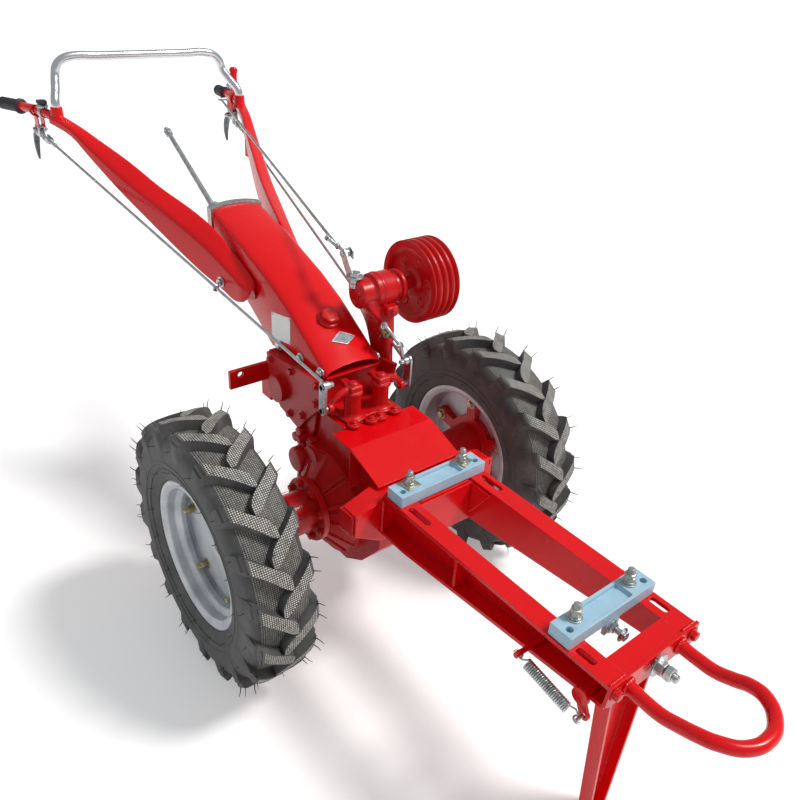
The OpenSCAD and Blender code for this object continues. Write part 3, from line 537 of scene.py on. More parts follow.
def turned(name, profile, place=(0, 0, 0), axis=UP, steps=48, angle=32):
    """A shape turned on a lathe: the profile's points are (radius, height) along the axis."""
    bpy.ops.mesh.primitive_plane_add(size=MM, location=(0, 0, 0))
    piece = newest(name)
    edit(piece)
    bpy.ops.mesh.merge(type="CENTER")
    bpy.ops.transform.translate(value=(profile[0][0] * MM, 0, profile[0][1] * MM))
    for (r0, h0), (r1, h1) in zip(profile, profile[1:]):
        bpy.ops.mesh.extrude_region_move(TRANSFORM_OT_translate={"value": ((r1 - r0) * MM, 0, (h1 - h0) * MM)})
    bpy.ops.mesh.select_all(action="SELECT")
    bpy.ops.mesh.spin(steps=steps, angle=2 * math.pi, center=(0, 0, 0), axis=UP)
    face_out(piece, 0.02 * MM)
    return stand(piece, place, axis, angle)


def rod(name, route, radius, bend=True, sides=6, spans=8):
    """A round bar along a route; the radius is one value or one for each point."""
    bpy.ops.curve.primitive_bezier_curve_add(location=(0, 0, 0))
    piece = newest(name)
    curve = piece.data
    curve.bevel_depth = MM
    curve.bevel_resolution = sides
    curve.resolution_u = spans if bend else 1
    curve.use_fill_caps = True
    points = curve.splines[0].bezier_points
    points.add(len(route) - 2)
    for i, (point, place) in enumerate(zip(points, route)):
        point.co = place
        point.radius = radius[i] if isinstance(radius, list) else radius
        point.handle_left_type = point.handle_right_type = "AUTO" if bend else "VECTOR"
    only(piece)
    bpy.ops.object.convert(target="MESH")
    face_out(piece, 0.01 * MM)
    return settle(piece)


def lofted(name, rings, closed=True, angle=32):
    """A skin through rings of points: a closed ring has a face at each end, an open one is a bent sheet."""
    count = len(rings[0])
    bpy.ops.mesh.primitive_circle_add(vertices=count, radius=1, fill_type="NGON" if closed else "NOTHING")
    piece = newest(name)
    if not closed:
        gap = [piece.data.vertices[i].co.copy() for i in (0, count - 1)]
        edit(piece, lambda co: co in gap)
        bpy.ops.mesh.delete(type="EDGE")
        leave()
    for vertex, place in zip(piece.data.vertices, rings[0]):
        vertex.co = place
    edit(piece)
    for before, after in zip(rings, rings[1:]):
        bpy.ops.mesh.extrude_region_move(TRANSFORM_OT_translate={"value": (0, 0, 0)})
        leave()
        for vertex in (v for v in piece.data.vertices if v.select):
            vertex.co = after[min(range(count), key=lambda i: (vertex.co - before[i]).length_squared)]
        bpy.ops.object.mode_set(mode="EDIT")
    face_out(piece)
    return settle(piece, angle)


def thicken(piece, thickness):
    """Turns a skin into sheet metal that keeps its outer face."""
    mesh = piece.data
    heart = sum((v.co for v in mesh.vertices), Vector()) / len(mesh.vertices)
    if sum((f.center - heart).dot(f.normal) * f.area for f in mesh.polygons) < 0:
        edit(piece)
        bpy.ops.mesh.flip_normals()
        leave()
    modify(piece, "SOLIDIFY", thickness=thickness * MM, offset=-1, use_even_offset=True)
    return settle(piece)


def plate(name, outline, thickness, edge=0.6):
    """A flat plate: its outline is a list of places, and it grows by its thickness along its normal."""
    points = [Vector(p) for p in outline]
    normal = (points[1] - points[0]).cross(points[2] - points[0]).normalized()
    return settle(round_off(lofted(name, [points, [p + normal * thickness * MM for p in points]]), edge, 2))


def smooth_rows(rows, steps):
    """More rows between the given ones, on a smooth curve through them."""
    result = []
    for i in range(len(rows) - 1):
        near = rows[max(i - 1, 0)], rows[i], rows[i + 1], rows[min(i + 2, len(rows) - 1)]
        for t in (k / steps for k in range(steps)):
            result.append([b + 0.5 * t * (c - a + t * (2 * a - 5 * b + 4 * c - d + t * (3 * (b - c) + d - a)))
                           for a, b, c, d in zip(*near)])
    return result + [list(rows[-1])]


def hexagon(flats, height, place=(0, 0, 0), axis=UP, chamfer=0.12):
    """A hexagon with its top corners turned off."""
    radius, drop = flats / 2 / math.cos(math.radians(30)) * MM, height * MM * chamfer
    bpy.ops.mesh.primitive_cylinder_add(vertices=6, radius=radius, depth=height * MM,
                                        location=(0, 0, height * MM / 2))
    piece = bake(newest("hexagon"))
    edit(piece, lambda co: co.z > height * MM * 0.9)
    bpy.ops.transform.translate(value=(0, 0, -drop))
    bpy.ops.mesh.inset(thickness=radius * chamfer, depth=0)
    bpy.ops.transform.translate(value=(0, 0, drop))
    leave()
    return stand(round_off(piece, height * 0.035, 1), place, axis, 20)


# shares of the width across the flats
WASHER_THICK, HEAD_HIGH, NUT_HIGH = 0.13, 0.4, 0.8


def washer(outer, inner, thick, lift=0.0):
    return turned("washer", rounded(ring(inner, outer, 0, thick), thick * 0.35), UP * lift * MM, steps=32)


def bolt_head(flats, height=None):
    """A hex head on a plain washer."""
    thick = flats * WASHER_THICK
    head = hexagon(flats, height or flats * HEAD_HIGH, UP * thick * MM)
    return joined("head", [head, washer(flats * 0.8, flats * 0.3, thick)])


def thread(radius, length, pitch, place=(0, 0, 0), axis=UP):
    """The end of a threaded bar, its crests and roots as rings, with a chamfered tip."""
    root, turns = radius * 0.87, int(length / pitch)
    profile = [(0, 0), (root, 0)]
    for i in range(turns):
        profile += [(root, (i + 0.1) * pitch), (radius, (i + 0.5) * pitch)]
    tip = (turns + 0.7) * pitch
    return turned("thread", profile + [(root, turns * pitch), (radius * 0.7, tip), (0, tip)], place, axis, 20)


def nut_on_thread(flats, radius, out):
    """A nut with its washer and the end of its stud."""
    thick, height = flats * WASHER_THICK, flats * NUT_HIGH
    return joined("nut", [hexagon(flats, height, UP * thick * MM),
                          thread(radius, out, 1.6, UP * (thick + height - 0.4) * MM),
                          washer(flats * 0.78, radius, thick)])


def weld(route, radius, seed=1):
    """A weld bead laid along a route: scales that overlap like coins."""
    rnd = random.Random(seed)
    length = sum((b - a).length for a, b in zip(route, route[1:])) / MM
    count = max(int(length / (radius * 0.55)), 3)
    places = []
    for i in range(count + 1):
        goal = length * i / count
        for a, b in zip(route, route[1:]):
            span = (b - a).length / MM
            if goal <= span + 1e-6:
                places.append(a.lerp(b, min(goal / span, 1)))
                break
            goal -= span
    radii = [radius * (rnd.uniform(0.95, 1.15) if i % 2 else rnd.uniform(0.72, 0.85)) for i in range(len(places))]
    radii[0] = radii[-1] = radius * 0.5
    return rod("bead", places, radii, sides=2, spans=2)


# ---- wheels ----

TYRE_MM = TYRE_R / MM
LUGS = 18
LUG_STEP = 360 / LUGS
LUG_LEAN = 11
LUG_FOOT = -87.3
TREAD_HALF = 66
# across the tread, width at the top, width at the foot, drop of the top, drop of the foot
LUG_STATIONS = [
    (-15, 11, 24, 2.2, 26), (-13.6, 21, 32, 0.8, 26), (-10.5, 29, 39, 0.1, 26), (-5, 34.5, 44, 0, 26),
    (1, 36, 46, 0, 26), (8, 35, 46, 0, 26), (18, 31.5, 44, 0, 26), (38, 30, 43, 0, 26), (54, 31, 44, 0.5, 28),
    (62, 33, 47, 2, 32), (65.5, 33, 48, 6, 38), (66, 30, 47, 14, 42), (69.5, 30, 46, 16, 50),
    (71.6, 25, 43, 32, 62), (71.4, 18, 38, 50, 74)]
# half of the tyre's cross section: below the crown and across, then above the bead and across, then its lining
CROWN, BEAD = TYRE_MM - 21, 166
SHOULDER = [(0, 0), (0.4, 20), (2, 40), (6, 54), (13, 62.5), (22, 67.2), (36, 70.5), (50, 71.2), (62, 70.8),
            (63, 71.8), (67, 71.8), (68, 70.3)]
WALL = [(30, 68.2), (29.2, 69.4), (26.2, 69.2), (25.5, 67.2), (14, 64.2), (6, 61.2), (2.2, 60.2), (0.8, 58.5),
        (-4, 52.5)]
LINING = [(158, 40), (200, 50), (240, 54), (255, 30), (258, 0)]
# the two rings of hairs on a wall: radius, distance from the wheel's middle, shift as a share of a step
WALL_HAIRS = ((188, 67.2, 0), (243, 70.5, 0.5))
# the rim's cross section from one flange to the other and back inside
RIM, SEAT, BOLT_CIRCLE = 166, 152, 114
RIM_PROFILE = [
    (RIM - 5, 52), (RIM, 55.5), (RIM - 1, 58.3), (RIM - 4, 58.8), (RIM - 10, 57.6), (SEAT - 6.5, 52),
    (SEAT - 7.5, 34), (SEAT - 20, 26), (SEAT - 20, 14), (SEAT - 12, 7.4), (SEAT - 12, 4.2), (24, 4.2), (24, -2),
    (SEAT - 8, -2), (SEAT - 8, -40), (SEAT - 6.5, -52), (RIM - 10, -57.6), (RIM - 4, -58.8), (RIM - 1, -58.3),
    (RIM, -55.5), (RIM - 5, -52), (SEAT, -51), (SEAT, -4), (SEAT - 13, 14), (SEAT - 13, 26), (SEAT, 35),
    (SEAT, 51), (RIM - 5, 52)]


def finish_on_wheel(name, parts, side, material, node=None, angle=34):
    """Finishes a piece that was drawn round the origin with its outer side at +Y."""
    piece = joined(name, parts)
    piece.scale.y = side
    piece.location = (AXLE_X, side * WHEEL_Y, AXLE_Z)
    settle(piece, angle)
    face_out(piece, 0.01 * MM)
    end = "_" + SIDES[side]
    finish(name + end, [piece], material, [node + end] if node else (), "wheel" + end)


def on_tread(u, y, h):
    """From the flat tread (along it, across it, above the lug tops) to its place on the tyre's round."""
    angle = u / TYRE_MM
    crown = 6 * (abs(y) / TREAD_HALF) ** 3
    radius = (TYRE_MM + h - crown) * MM
    return Vector((radius * math.cos(angle), y * MM, radius * math.sin(angle)))


def make_lug():
    """One lug, drawn along the flat tread and laid round it: its blunt tip is just past the middle, its
    flanks slope, and its outer end runs down over the shoulder."""
    lean = math.radians(LUG_LEAN) * TYRE_MM / TREAD_HALF
    rings = []
    for y, top, foot, drop, low in LUG_STATIONS:
        flat = [(-foot / 2, -low), (foot / 2, -low), (top / 2, -drop), (-top / 2, -drop)]
        rings.append([Vector((u + lean * y, y, h)) * MM for u, h in flat])
    lug = round_off(lofted("lug", rings), 1.6, 2, 35)
    for vertex in lug.data.vertices:
        vertex.co = on_tread(*(vertex.co / MM))
    return lug


def make_tyre(side):
    """A carcass with its lugs, and the vent hairs: threads of rubber that the mould's air holes leave."""
    rnd = random.Random(11 + side)
    half = [(CROWN - down, y) for down, y in SHOULDER] + [(BEAD + up, y) for up, y in WALL]
    outer = [(r, -y) for r, y in reversed(half)] + half[1:]
    profile = outer + LINING + [(r, -y) for r, y in reversed(LINING[:-1])] + [outer[0]]
    parts, hairs = [turned("carcass", profile, axis=ACROSS, steps=126)], []
    lug = make_lug()
    lugs = {1: lug, -1: mirrored(lug)}
    hair = rod("hair", [Vector(p) * MM for p in ((0, 0, -3), (0.4, 0.6, 9.5), (1.6, -1, 19))], [1.3, 1.0, 0.6],
               sides=0, spans=2)
    for across, share in ((-1, 0.0), (1, 0.5)):
        for k in range(LUGS):
            turn = Matrix.Rotation(-math.radians(LUG_FOOT + (k + share) * LUG_STEP), 4, "Y")
            copy = twin(lugs[across])
            copy.matrix_world = turn
            parts.append(settle(copy))
            clear_of_floor = (turn @ AHEAD).z > -0.9
            if not clear_of_floor:
                continue
            for spread in (-15, 14):
                place = on_tread(math.radians(LUG_LEAN) * TYRE_MM + spread + rnd.uniform(-2, 2), across * 62, -3)
                out = Vector((place.x, across * 0.14, place.z))
                hairs.append(put(hair, turn @ place, turn @ out, rnd.uniform(0, 360), rnd.uniform(0.75, 1.1)))
            if k % 2 == 0:
                place = on_tread(4, -across * 9, -1)
                out = Vector((place.x, 0, place.z))
                hairs.append(put(hair, turn @ place, turn @ out, 0, 0.5))
        for k in range(16):
            for radius, reach, shift in WALL_HAIRS:
                angle = (k + shift) * math.pi / 8 + rnd.uniform(-0.04, 0.04)
                x, z = math.cos(angle), math.sin(angle)
                hairs.append(put(hair, Vector((radius * x, across * reach, radius * z)) * MM,
                                 Vector((x * 0.25, across, z * 0.25 + 0.1)), rnd.uniform(0, 360),
                                 rnd.uniform(0.55, 0.85)))
    discard(*lugs.values(), hair)
    finish_on_wheel("tyre_dressed", parts, side, TREAD, "tyre")
    finish_on_wheel("vent_hairs", hairs, side, FLASH)


def make_rim(side):
    """A pressed and rolled rim: flanges with a curled edge, two wells and the disc, and its nuts and bolts."""
    shell = turned("shell", rounded(RIM_PROFILE, 3, 3), axis=ACROSS, steps=96)
    finish_on_wheel("rim_dressed", [shell], side, SILVER, "rim")
    holes = [Matrix.Rotation(math.radians(k * 72 + 51), 3, "Y") @ AHEAD * BOLT_CIRCLE * MM for k in range(5)]
    nuts = [(hole + ACROSS * 4.2 * MM, ACROSS, k * 17) for k, hole in enumerate(holes)]
    heads = [(hole - ACROSS * 20.2 * MM, -ACROSS, k * 23) for k, hole in enumerate(holes)]
    parts = copies(nut_on_thread(16, 5.5, 9), nuts) + copies(bolt_head(18), heads)
    finish_on_wheel("wheel_nuts", parts, side, YELLOW_ZINC, "wheel_bolts", 20)


# ---- handlebars ----

ARM_SPLAY = 0.23158


def arm_y(x):
    """How far a handlebar arm is from the middle plane at a distance ahead of the axle."""
    return 112 + (-350 - x) * ARM_SPLAY


# x, inner face, outer face, underside, top at the inner face, top at the outer face
ARM_ROWS = [
    (-343, 82, 88, 392, 400, 394), (-346, 76, 94, 380, 410, 396), (-353, 72.6, 99, 368, 418, 399),
    (-368, 72.3, 104, 360, 427, 404), (-400, 72.3, 107, 355, 440, 415), (-450, 76, 114, 369, 463, 436),
    (-520, 88, 130, 390, 500, 468), (-600, 107, 152, 426, 528, 499), (-700, 138, 181, 477, 559, 534),
    (-800, 172, 213, 534, 602, 575), (-900, 208, 244, 598, 638, 625), (-960, 231, 262, 636, 660, 656),
    (-1040, 257, 287, 655, 680, 676)]
GRIP_END, TUBE_BEND = path((-1300, 332, 663), (-1160, arm_y(-1160), 672))
LEVER_X = -1140
LEVER_Y = arm_y(LEVER_X) - 4
ROD_REAR, ROD_FRONT = path((LEVER_X + 43, arm_y(LEVER_X) - 10, 605), (-3, 107, 314))


def make_arm():
    """A tapered pressing, open below, with the grip's tube welded into its end."""
    rings = []
    for x, inner, outer, low, top_in, top_out in smooth_rows(ARM_ROWS, 3):
        outline = rounded([(inner, low), (inner, top_in), (outer, top_out), (outer, low)], 11, 4)
        rings.append([at(x, y, z) for y, z in outline])
    seam = [at(-1040 + 15 * math.cos(a), arm_y(-1040) + 15 * math.cos(a + 1.6), 671 + 13 * math.sin(a))
            for a in (0.2, 0.9, 1.6, 2.3, 2.9)]
    return [
        thicken(lofted("shell", rings, closed=False, angle=40), 2.5),
        rod("tube", [at(-1026, arm_y(-1026), 668), at(-1080, arm_y(-1080), 672), TUBE_BEND,
                     GRIP_END.lerp(TUBE_BEND, 0.04)], 12),
        turned("post", rounded([(0, -10), (20, -10), (16, -2), (15, 22), (13.5, 24.8), (0, 24.8)], 2),
               at(-1033, arm_y(-1033) - 4, 671)),
        weld(seam, 2.6),
        block("guide", at(-893, 203, 554), at(-873, 207, 602), 1)]


def make_grip():
    """A moulded grip with fine rings, a collar at the front and a rounded end."""
    profile = [(0, -3), (12, -2.6), (15.5, -0.8), (16.8, 3), (16.8, 12)]
    for h in (14 + i * 5.6 for i in range(13)):
        profile += [(15.4, h), (16.8, h + 1.3), (16.8, h + 3.6), (15.4, h + 4.9)]
    profile += [(15.6, 90), (16.6, 93), (19.6, 95), (20.6, 98), (19.8, 102), (16.6, 104.5), (12.4, 105)]
    return [turned("grip", profile, GRIP_END, TUBE_BEND - GRIP_END, 32, 50)]


def make_cross_tube():
    """The chromed bar between the two arms."""
    half = [(-1033, -266.2, 690), (-1036, -265.4, 706), (-1060, -253, 733), (-1086, -241, 762),
            (-1089, -234, 784), (-1090, -217, 800), (-1090, -195, 807), (-1090, -120, 807)]
    route = path(*half) + path(*half[::-1], side=-1)
    finish("cross_bar", [rod("bar", route, 11.5, sides=8)], CHROME, ["cross_tube"])


def make_steering_lever():
    """A pressed blade that curves down under the grip, from a yoke."""
    rows = [(6, 4, 13), (-4, -2, 15), (-18, -8, 16), (-29, -22, 16), (-36, -42, 15), (-39, -62, 12), (-37, -80, 8),
            (-34, -87, 4)]
    rings = []
    for dx, dz, wide in smooth_rows(rows, 3):
        outline = rounded_box(-wide / 2, wide / 2, wide / 2, -wide / 2, 3)
        rings.append([at(LEVER_X + dx + a, LEVER_Y + b * 0.9, 619 + dz) for a, b in outline])
    return [lofted("blade", rings, angle=50)]


def make_lever_yoke():
    """The yoke that a steering blade turns in, with its pivot bolt."""
    x, y = LEVER_X, LEVER_Y
    return [*[block("cheek", at(x - 4, v - 1.5, 605), at(x + 34, v + 1.5, 632), 1.2) for v in (y - 6, y + 6)],
            block("bridge", at(x - 4, y - 7, 629), at(x + 34, y + 7, 632.5), 1.2),
            *copies(bolt_head(13), [(at(x + 2, y + 7.5, 619), ACROSS)]),
            *copies(nut_on_thread(13, 4, 4), [(at(x + 2, y - 7.5, 619), -ACROSS)])]


def make_lever_bracket():
    """Two straps and a saddle that hang a yoke under the grip's tube."""
    x, y = LEVER_X, LEVER_Y
    straps = [plate("strap", path((x, v, 629), (x + 32, v, 629), (x + 32, v, 662), (x, v, 662)), 3)
              for v in (y - 9, y + 6)]
    saddle = block("saddle", at(x, y - 9, 656), at(x + 32, y + 9, 661), 1.5)
    return straps + [saddle, weld(circle(x + 16, y + 4, 672, 13), 3)]


def make_steering_rod():
    """A plated rod with a clevis at the lever and a bent eye at the turret's link."""
    rear = ROD_REAR
    along = (ROD_FRONT - rear).normalized()
    up = along.cross(ACROSS).normalized()
    cheeks = []
    for s in SIDES:
        outline = [rear + (ACROSS * s * 6 + along * a + up * b) * MM
                   for a, b in ((-12, 4), (-12, -4), (-6, -7), (22, -7), (22, 7), (-6, 7))]
        cheeks.append(plate("cheek", outline, -2.4 * s, 0.5))
    clevis_end = block("clevis_end", (-0.007, -0.0075, 0), (0.007, 0.0075, 0.006), 1.2)
    pin = rounded([(0, -11), (6.5, -11), (6.5, -8.5), (4, -8.5), (4, 11), (0, 11)], 0.6)
    return [rod("bar", [rear, ROD_FRONT - along * 6 * MM], 3.6, bend=False, sides=3),
            thread(4.2, 34, 1.6, rear + along * 18 * MM, along),
            *copies(hexagon(11, 5), [(rear + along * d * MM, along) for d in (26, 43)]),
            *cheeks,
            stand(clevis_end, rear + along * 20 * MM, along),
            turned("pin", pin, rear, ACROSS, 20),
            turned("eye", rounded(ring(6, 10, -5.5, 5.5), 1), at(5, 106.5, 312), ACROSS, 28)]


def make_steering_link():
    """A strap with round ends, and the pins and nuts through them."""
    outline = [polar(5, 112.5, z, 12, start + 22.5 * i) for z, start in ((254, 180), (312, 0)) for i in range(9)]
    head = turned("head", rounded(disc(7, 0, 3), 1), steps=24)
    return [plate("strap", outline[::-1], 5.5),
            *copies(head, [(at(5, 118, z), ACROSS, 20) for z in (254, 312)]),
            *copies(nut_on_thread(11, 3.5, 3), [(at(5, 101, z), -ACROSS, 10) for z in (254, 312)]),
            *[rod("pin", path((5, 98, z), (5, 121, z)), 6, bend=False, sides=5) for z in (312, 254)]]


def make_rod_guide():
    """The bolt on the right arm's side, with the wire eye that keeps the rod from swinging."""
    foot = at(-446, 113.5, 386)
    eye = ROD_REAR.lerp(ROD_FRONT, 0.668)
    wire = [foot + Vector((0, 4, 0)) * MM, foot.lerp(eye, 0.3) + Vector((0, 8, -4)) * MM,
            eye + Vector((-12, -4, -6)) * MM, eye + Vector((0, 0, -7.5)) * MM]
    profile = [(4.6, 0), (6, -2), (8, -2.4), (9.6, 0), (8, 2.4), (6, 2), (4.6, 0)]
    left = joined("guide", [*copies(bolt_head(17), [(foot, (0.14, 1, 0), 12)]), rod("wire", wire, 2.8, sides=3),
                            turned("ring", profile, eye, ROD_FRONT - ROD_REAR, 24)])
    finish("rod_guide_right", [mirrored(left)], ZINC)
    discard(left)


def make_throttle():
    """A thumb lever on the right grip's tube: its clamped base, and its pad on top."""
    x, y = -1092, -arm_y(-1092)
    base = turned("base", rounded([(0, 0), (15, 0), (15, 4), (12, 9), (0, 9)], 1.5), at(x, y, 684.2))
    strap = turned("strap", rounded(ring(12.3, 14.5, -7, 7), 0.6), at(x, y, 672), (1, 0.2316, 0), 32)
    finish("throttle_base", [base, strap], ZINC)
    rows = [(-23, 5, 695, 699), (-21, 9, 693.5, 701), (-8, 12, 693.2, 703), (8, 11.5, 693.2, 702),
            (15, 8, 693.5, 700), (17, 4, 695, 698)]
    rings = [[at(x + dx, y + a, b) for a, b in rounded_box(-half, half, low, high, 3)]
             for dx, half, low, high in smooth_rows(rows, 3)]
    finish("throttle_pad", [lofted("pad", rings, angle=50)], GRIP, ["throttle_lever"])


def make_clutch_lever():
    """The upright handle on the left grip's tube, with its pivot and a tongue below."""
    y = arm_y(-1110)
    clamp = turned("clamp", rounded(ring(12.2, 17, -15, 15), 1.2), at(-1108, y, 672), (1, -0.2316, 0), 32)
    outline = ((-1122, 682), (-1094, 682), (-1096, 716), (-1101, 727), (-1113, 727), (-1119, 716))
    cheeks = [plate("cheek", [at(x, y + s * 6, z) for x, z in outline], 3 * s, 0.8) for s in SIDES]
    stem = rod("stem", path((-1107, y, 706), (-1110, y + 2, 718), (-1117, y + 6, 734), (-1121, y + 8, 747)),
               [9.5, 10, 10.5, 10.5], sides=5)
    knob = turned("knob", [(0, -9), (8, -8.5), (12, -5), (13, 0), (12, 5), (8, 9), (0, 10.5)],
                  at(-1122, y + 9, 750), (-0.2, 0.2, 1), 32, 60)
    finish("clutch_handle", [clamp, stem, knob, *cheeks], RED_SHEET, ["clutch_lever"])
    tongue = [at(x, y + 3, z) for x, z in ((-1120, 700), (-1112, 694), (-1096, 640), (-1102, 618), (-1112, 640))]
    finish("clutch_pivot", [*copies(bolt_head(13), [(at(-1107, y + 9, 712), ACROSS)]),
                            *copies(nut_on_thread(13, 4, 4), [(at(-1107, y - 9, 712), -ACROSS)]),
                            plate("tongue", tongue, 4, 0.8)], ZINC)


# ---- clutch and gear controls ----

FORK = at(-165, 55, 521)


def make_clutch_rods():
    """The rod from the clutch lever, with its eye, its adjusting thread and the hook at the lever."""
    start = at(-1110, 244, 672)
    along = ((FORK - start) * Vector((1, 0, 1))).normalized()
    hook = [start - ACROSS * 8 * MM, start + ACROSS * 18 * MM]
    route = [start, FORK - along * 34 * MM, FORK - along * 8 * MM]
    parts = [rod("rod", route, [3.6, 3.6, 4.2], bend=False, sides=4),
             turned("eye", rounded(ring(4.1, 10, -5, 5), 1.2), FORK, ACROSS, 32),
             thread(4.6, 40, 1.6, FORK - along * 70 * MM, along),
             *copies(hexagon(12, 6), [(FORK - along * d * MM, along) for d in (36, 78)]),
             rod("hook", hook, 4.5, bend=False, sides=4),
             turned("pin", rounded(disc(7, 0, 2.5), 0.6), hook[1], ACROSS, 20)]
    finish("clutch_rod", parts, ZINC, ["clutch_rods"])


def make_bellcrank():
    """The clutch's fork shaft with its cap bolt, the tapered blade to the rod and the release arm below."""
    outline = [(-140, 466), (-124, 466), (-120, 478), (-152, 527), (-160, 533), (-171, 531), (-175, 519)]
    blade = [at(x, 45.2, z) for x, z in outline]
    far = [at(x, 64.2, z) for x, z in outline[3:] + [(-152, 508)]]
    pin = rounded([(0, -12), (7.5, -12), (7.5, -9), (4, -9), (4, 13), (0, 13)], 0.7)
    link = path((-52, 82, 386), (-40, 86, 378), (-24, 94, 360), (-11, 101, 345), (-7, 103, 334), (-3, 104, 312))
    parts = [turned("shaft", rounded([(0, 0), (13.5, 0), (13.5, 10), (11.5, 12), (11.5, 24), (0, 24)], 1),
                    at(-128, 55, 453)),
             *copies(bolt_head(25, 8), [(at(-128, 55, 477), UP, 8)]),
             plate("blade", blade, -4, 0.8),
             plate("far_cheek", far, -3.5, 0.8),
             turned("pin", pin, FORK, ACROSS, 24),
             rod("link", link, [5, 5, 4.6, 4.6, 4.6, 4], sides=4),
             rod("second", path((-52, 84, 380), (-66, 92, 352), (-84, 100, 330)), 3.4, sides=4),
             *copies(nut_on_thread(11, 3.5, 4), [(at(-11, 103, 345), (0.2, -1, 0.2), 10),
                                                 (at(-48, 82, 384), (0.9, -0.4, 0.2), 5)])]
    finish("fork_shaft", parts, ZINC, ["clutch_bellcrank"])
    axis = (1, -0.1, -0.25)
    sleeve = turned("sleeve", rounded(disc(8, -12, 12), 1), at(-54, 88, 368), axis, 28)
    finish("release_bolt", [sleeve, *copies(bolt_head(14, 9), [(at(-41.5, 86.7, 365), axis, 12)])], YELLOW_ZINC)


def make_gear_lever():
    """A bent lever that leaves the gearbox through a boot, with a lock nut on its threaded tip."""
    tip, foot = at(-873, -40, 656), at(-611, -50, 528)
    along = (tip - foot).normalized()
    route = path((-589.5, -50, 519), (-599, -50, 519.5))
    route += [foot, foot + along * 30 * MM, tip - along * 120 * MM, tip - along * 24 * MM]
    parts = [rod("lever", route, [8, 8, 7.4, 7, 6.5, 6.2], sides=5),
             thread(6, 14, 1.8, tip - along * 14 * MM, along),
             *copies(hexagon(19, 15), [(tip - along * 26 * MM, along)]),
             turned("boot", rounded([(0, 0), (17, 0), (17, 4), (11, 9), (0, 9)], 1.5), at(-589.4, -50, 519),
                    (-1, 0, 0.1), 32)]
    finish("gear_stick", parts, ZINC, ["gear_lever"])


# ---- hood ----

# x, underside, top edge, half width, height of the crown
HOOD_ROWS = [
    (-567, 440, 521, 68, 8), (-430, 360, 485, 71, 10), (-281, 272.2, 434, 72, 11), (-200, 278.7, 397, 73, 12),
    (-120, 285.2, 350, 73, 12), (-60, 290.1, 313, 74, 13), (-45, 291.3, 304, 75, 13)]
# across the hood's top from side to side, as shares of its half width
CROWN_SHARES = (-1, -0.998, -0.985, -0.955, -0.9, -0.8, -0.6, -0.3, 0, 0.3, 0.6, 0.8, 0.9, 0.955, 0.985, 0.998, 1)
HOOD_NORMAL = Vector((0.51, 0, 0.86))


def on_hood(x, y, lift):
    """A place above the front part of the hood's skin."""
    for a, b in zip(HOOD_ROWS, HOOD_ROWS[1:]):
        if a[0] <= x <= b[0]:
            t = (x - a[0]) / (b[0] - a[0])
            top, half, crown = (a[i] + (b[i] - a[i]) * t for i in (2, 3, 4))
            return at(x, y, top + crown * (1 - (y / half) ** 2)) + HOOD_NORMAL * lift * MM


def make_hood():
    """Folded sheet round the gearbox: a crowned top with soft edges, straight sides and rolled lower edges."""
    rows = []
    for a, b in zip(HOOD_ROWS, HOOD_ROWS[1:]):
        count = max(int((b[0] - a[0]) / 22), 1)
        rows += [[p + (q - p) * k / count for p, q in zip(a, b)] for k in range(count)]
    rings = []
    for x, low, top, half, crown in rows + [HOOD_ROWS[-1]]:
        sides = [(half, low + 7), (half - 2, low + 2), (half - 7, low)]
        outline = [(half * s, top + crown * (1 - s * s) - 8 * abs(s) ** 22) for s in CROWN_SHARES]
        rings.append([at(x, y, z) for y, z in outline + sides + [(-y, z) for y, z in reversed(sides)]])
    hood = lofted("hood_skin", rings, angle=40)
    edit(hood)
    bpy.ops.mesh.select_mode(type="FACE")
    bpy.ops.mesh.select_face_by_sides(number=6, type="GREATER", extend=False)
    bpy.ops.mesh.delete(type="ONLY_FACE")
    leave()
    finish("hood_skin", [thicken(hood, 3)], RED_SHEET, ["handlebar_hood"])


def make_badge():
    """A blank lozenge with a raised rim, and the darker field inside it."""
    corners = ((0, -33), (-19, 0), (0, 33), (19, 0), (0, -33))
    rings = []
    for share, lift in ((1, -3), (1, 1.6), (0.97, 2.2), (0.88, 2.2), (0.85, 1.2)):
        outline = [[p + (q - p) * t for p, q in zip(a, b)] for a, b in zip(corners, corners[1:])
                   for t in (0, 0.33, 0.67)]
        rings.append([on_hood(-100 + x * share * 0.86, 8 + y * share, lift) for x, y in outline])
    finish("blank_badge", [lofted("badge", rings, angle=25)], BADGE)
    field = [on_hood(x, y, 1.5) for x, y in ((-100, -19), (-90, -7), (-87.5, 8), (-90, 23), (-100, 35), (-110, 23),
                                             (-112.5, 8), (-110, -7))]
    finish("badge_field", [plate("field", field, 0.5, 0.15)], GREY_BLADE)


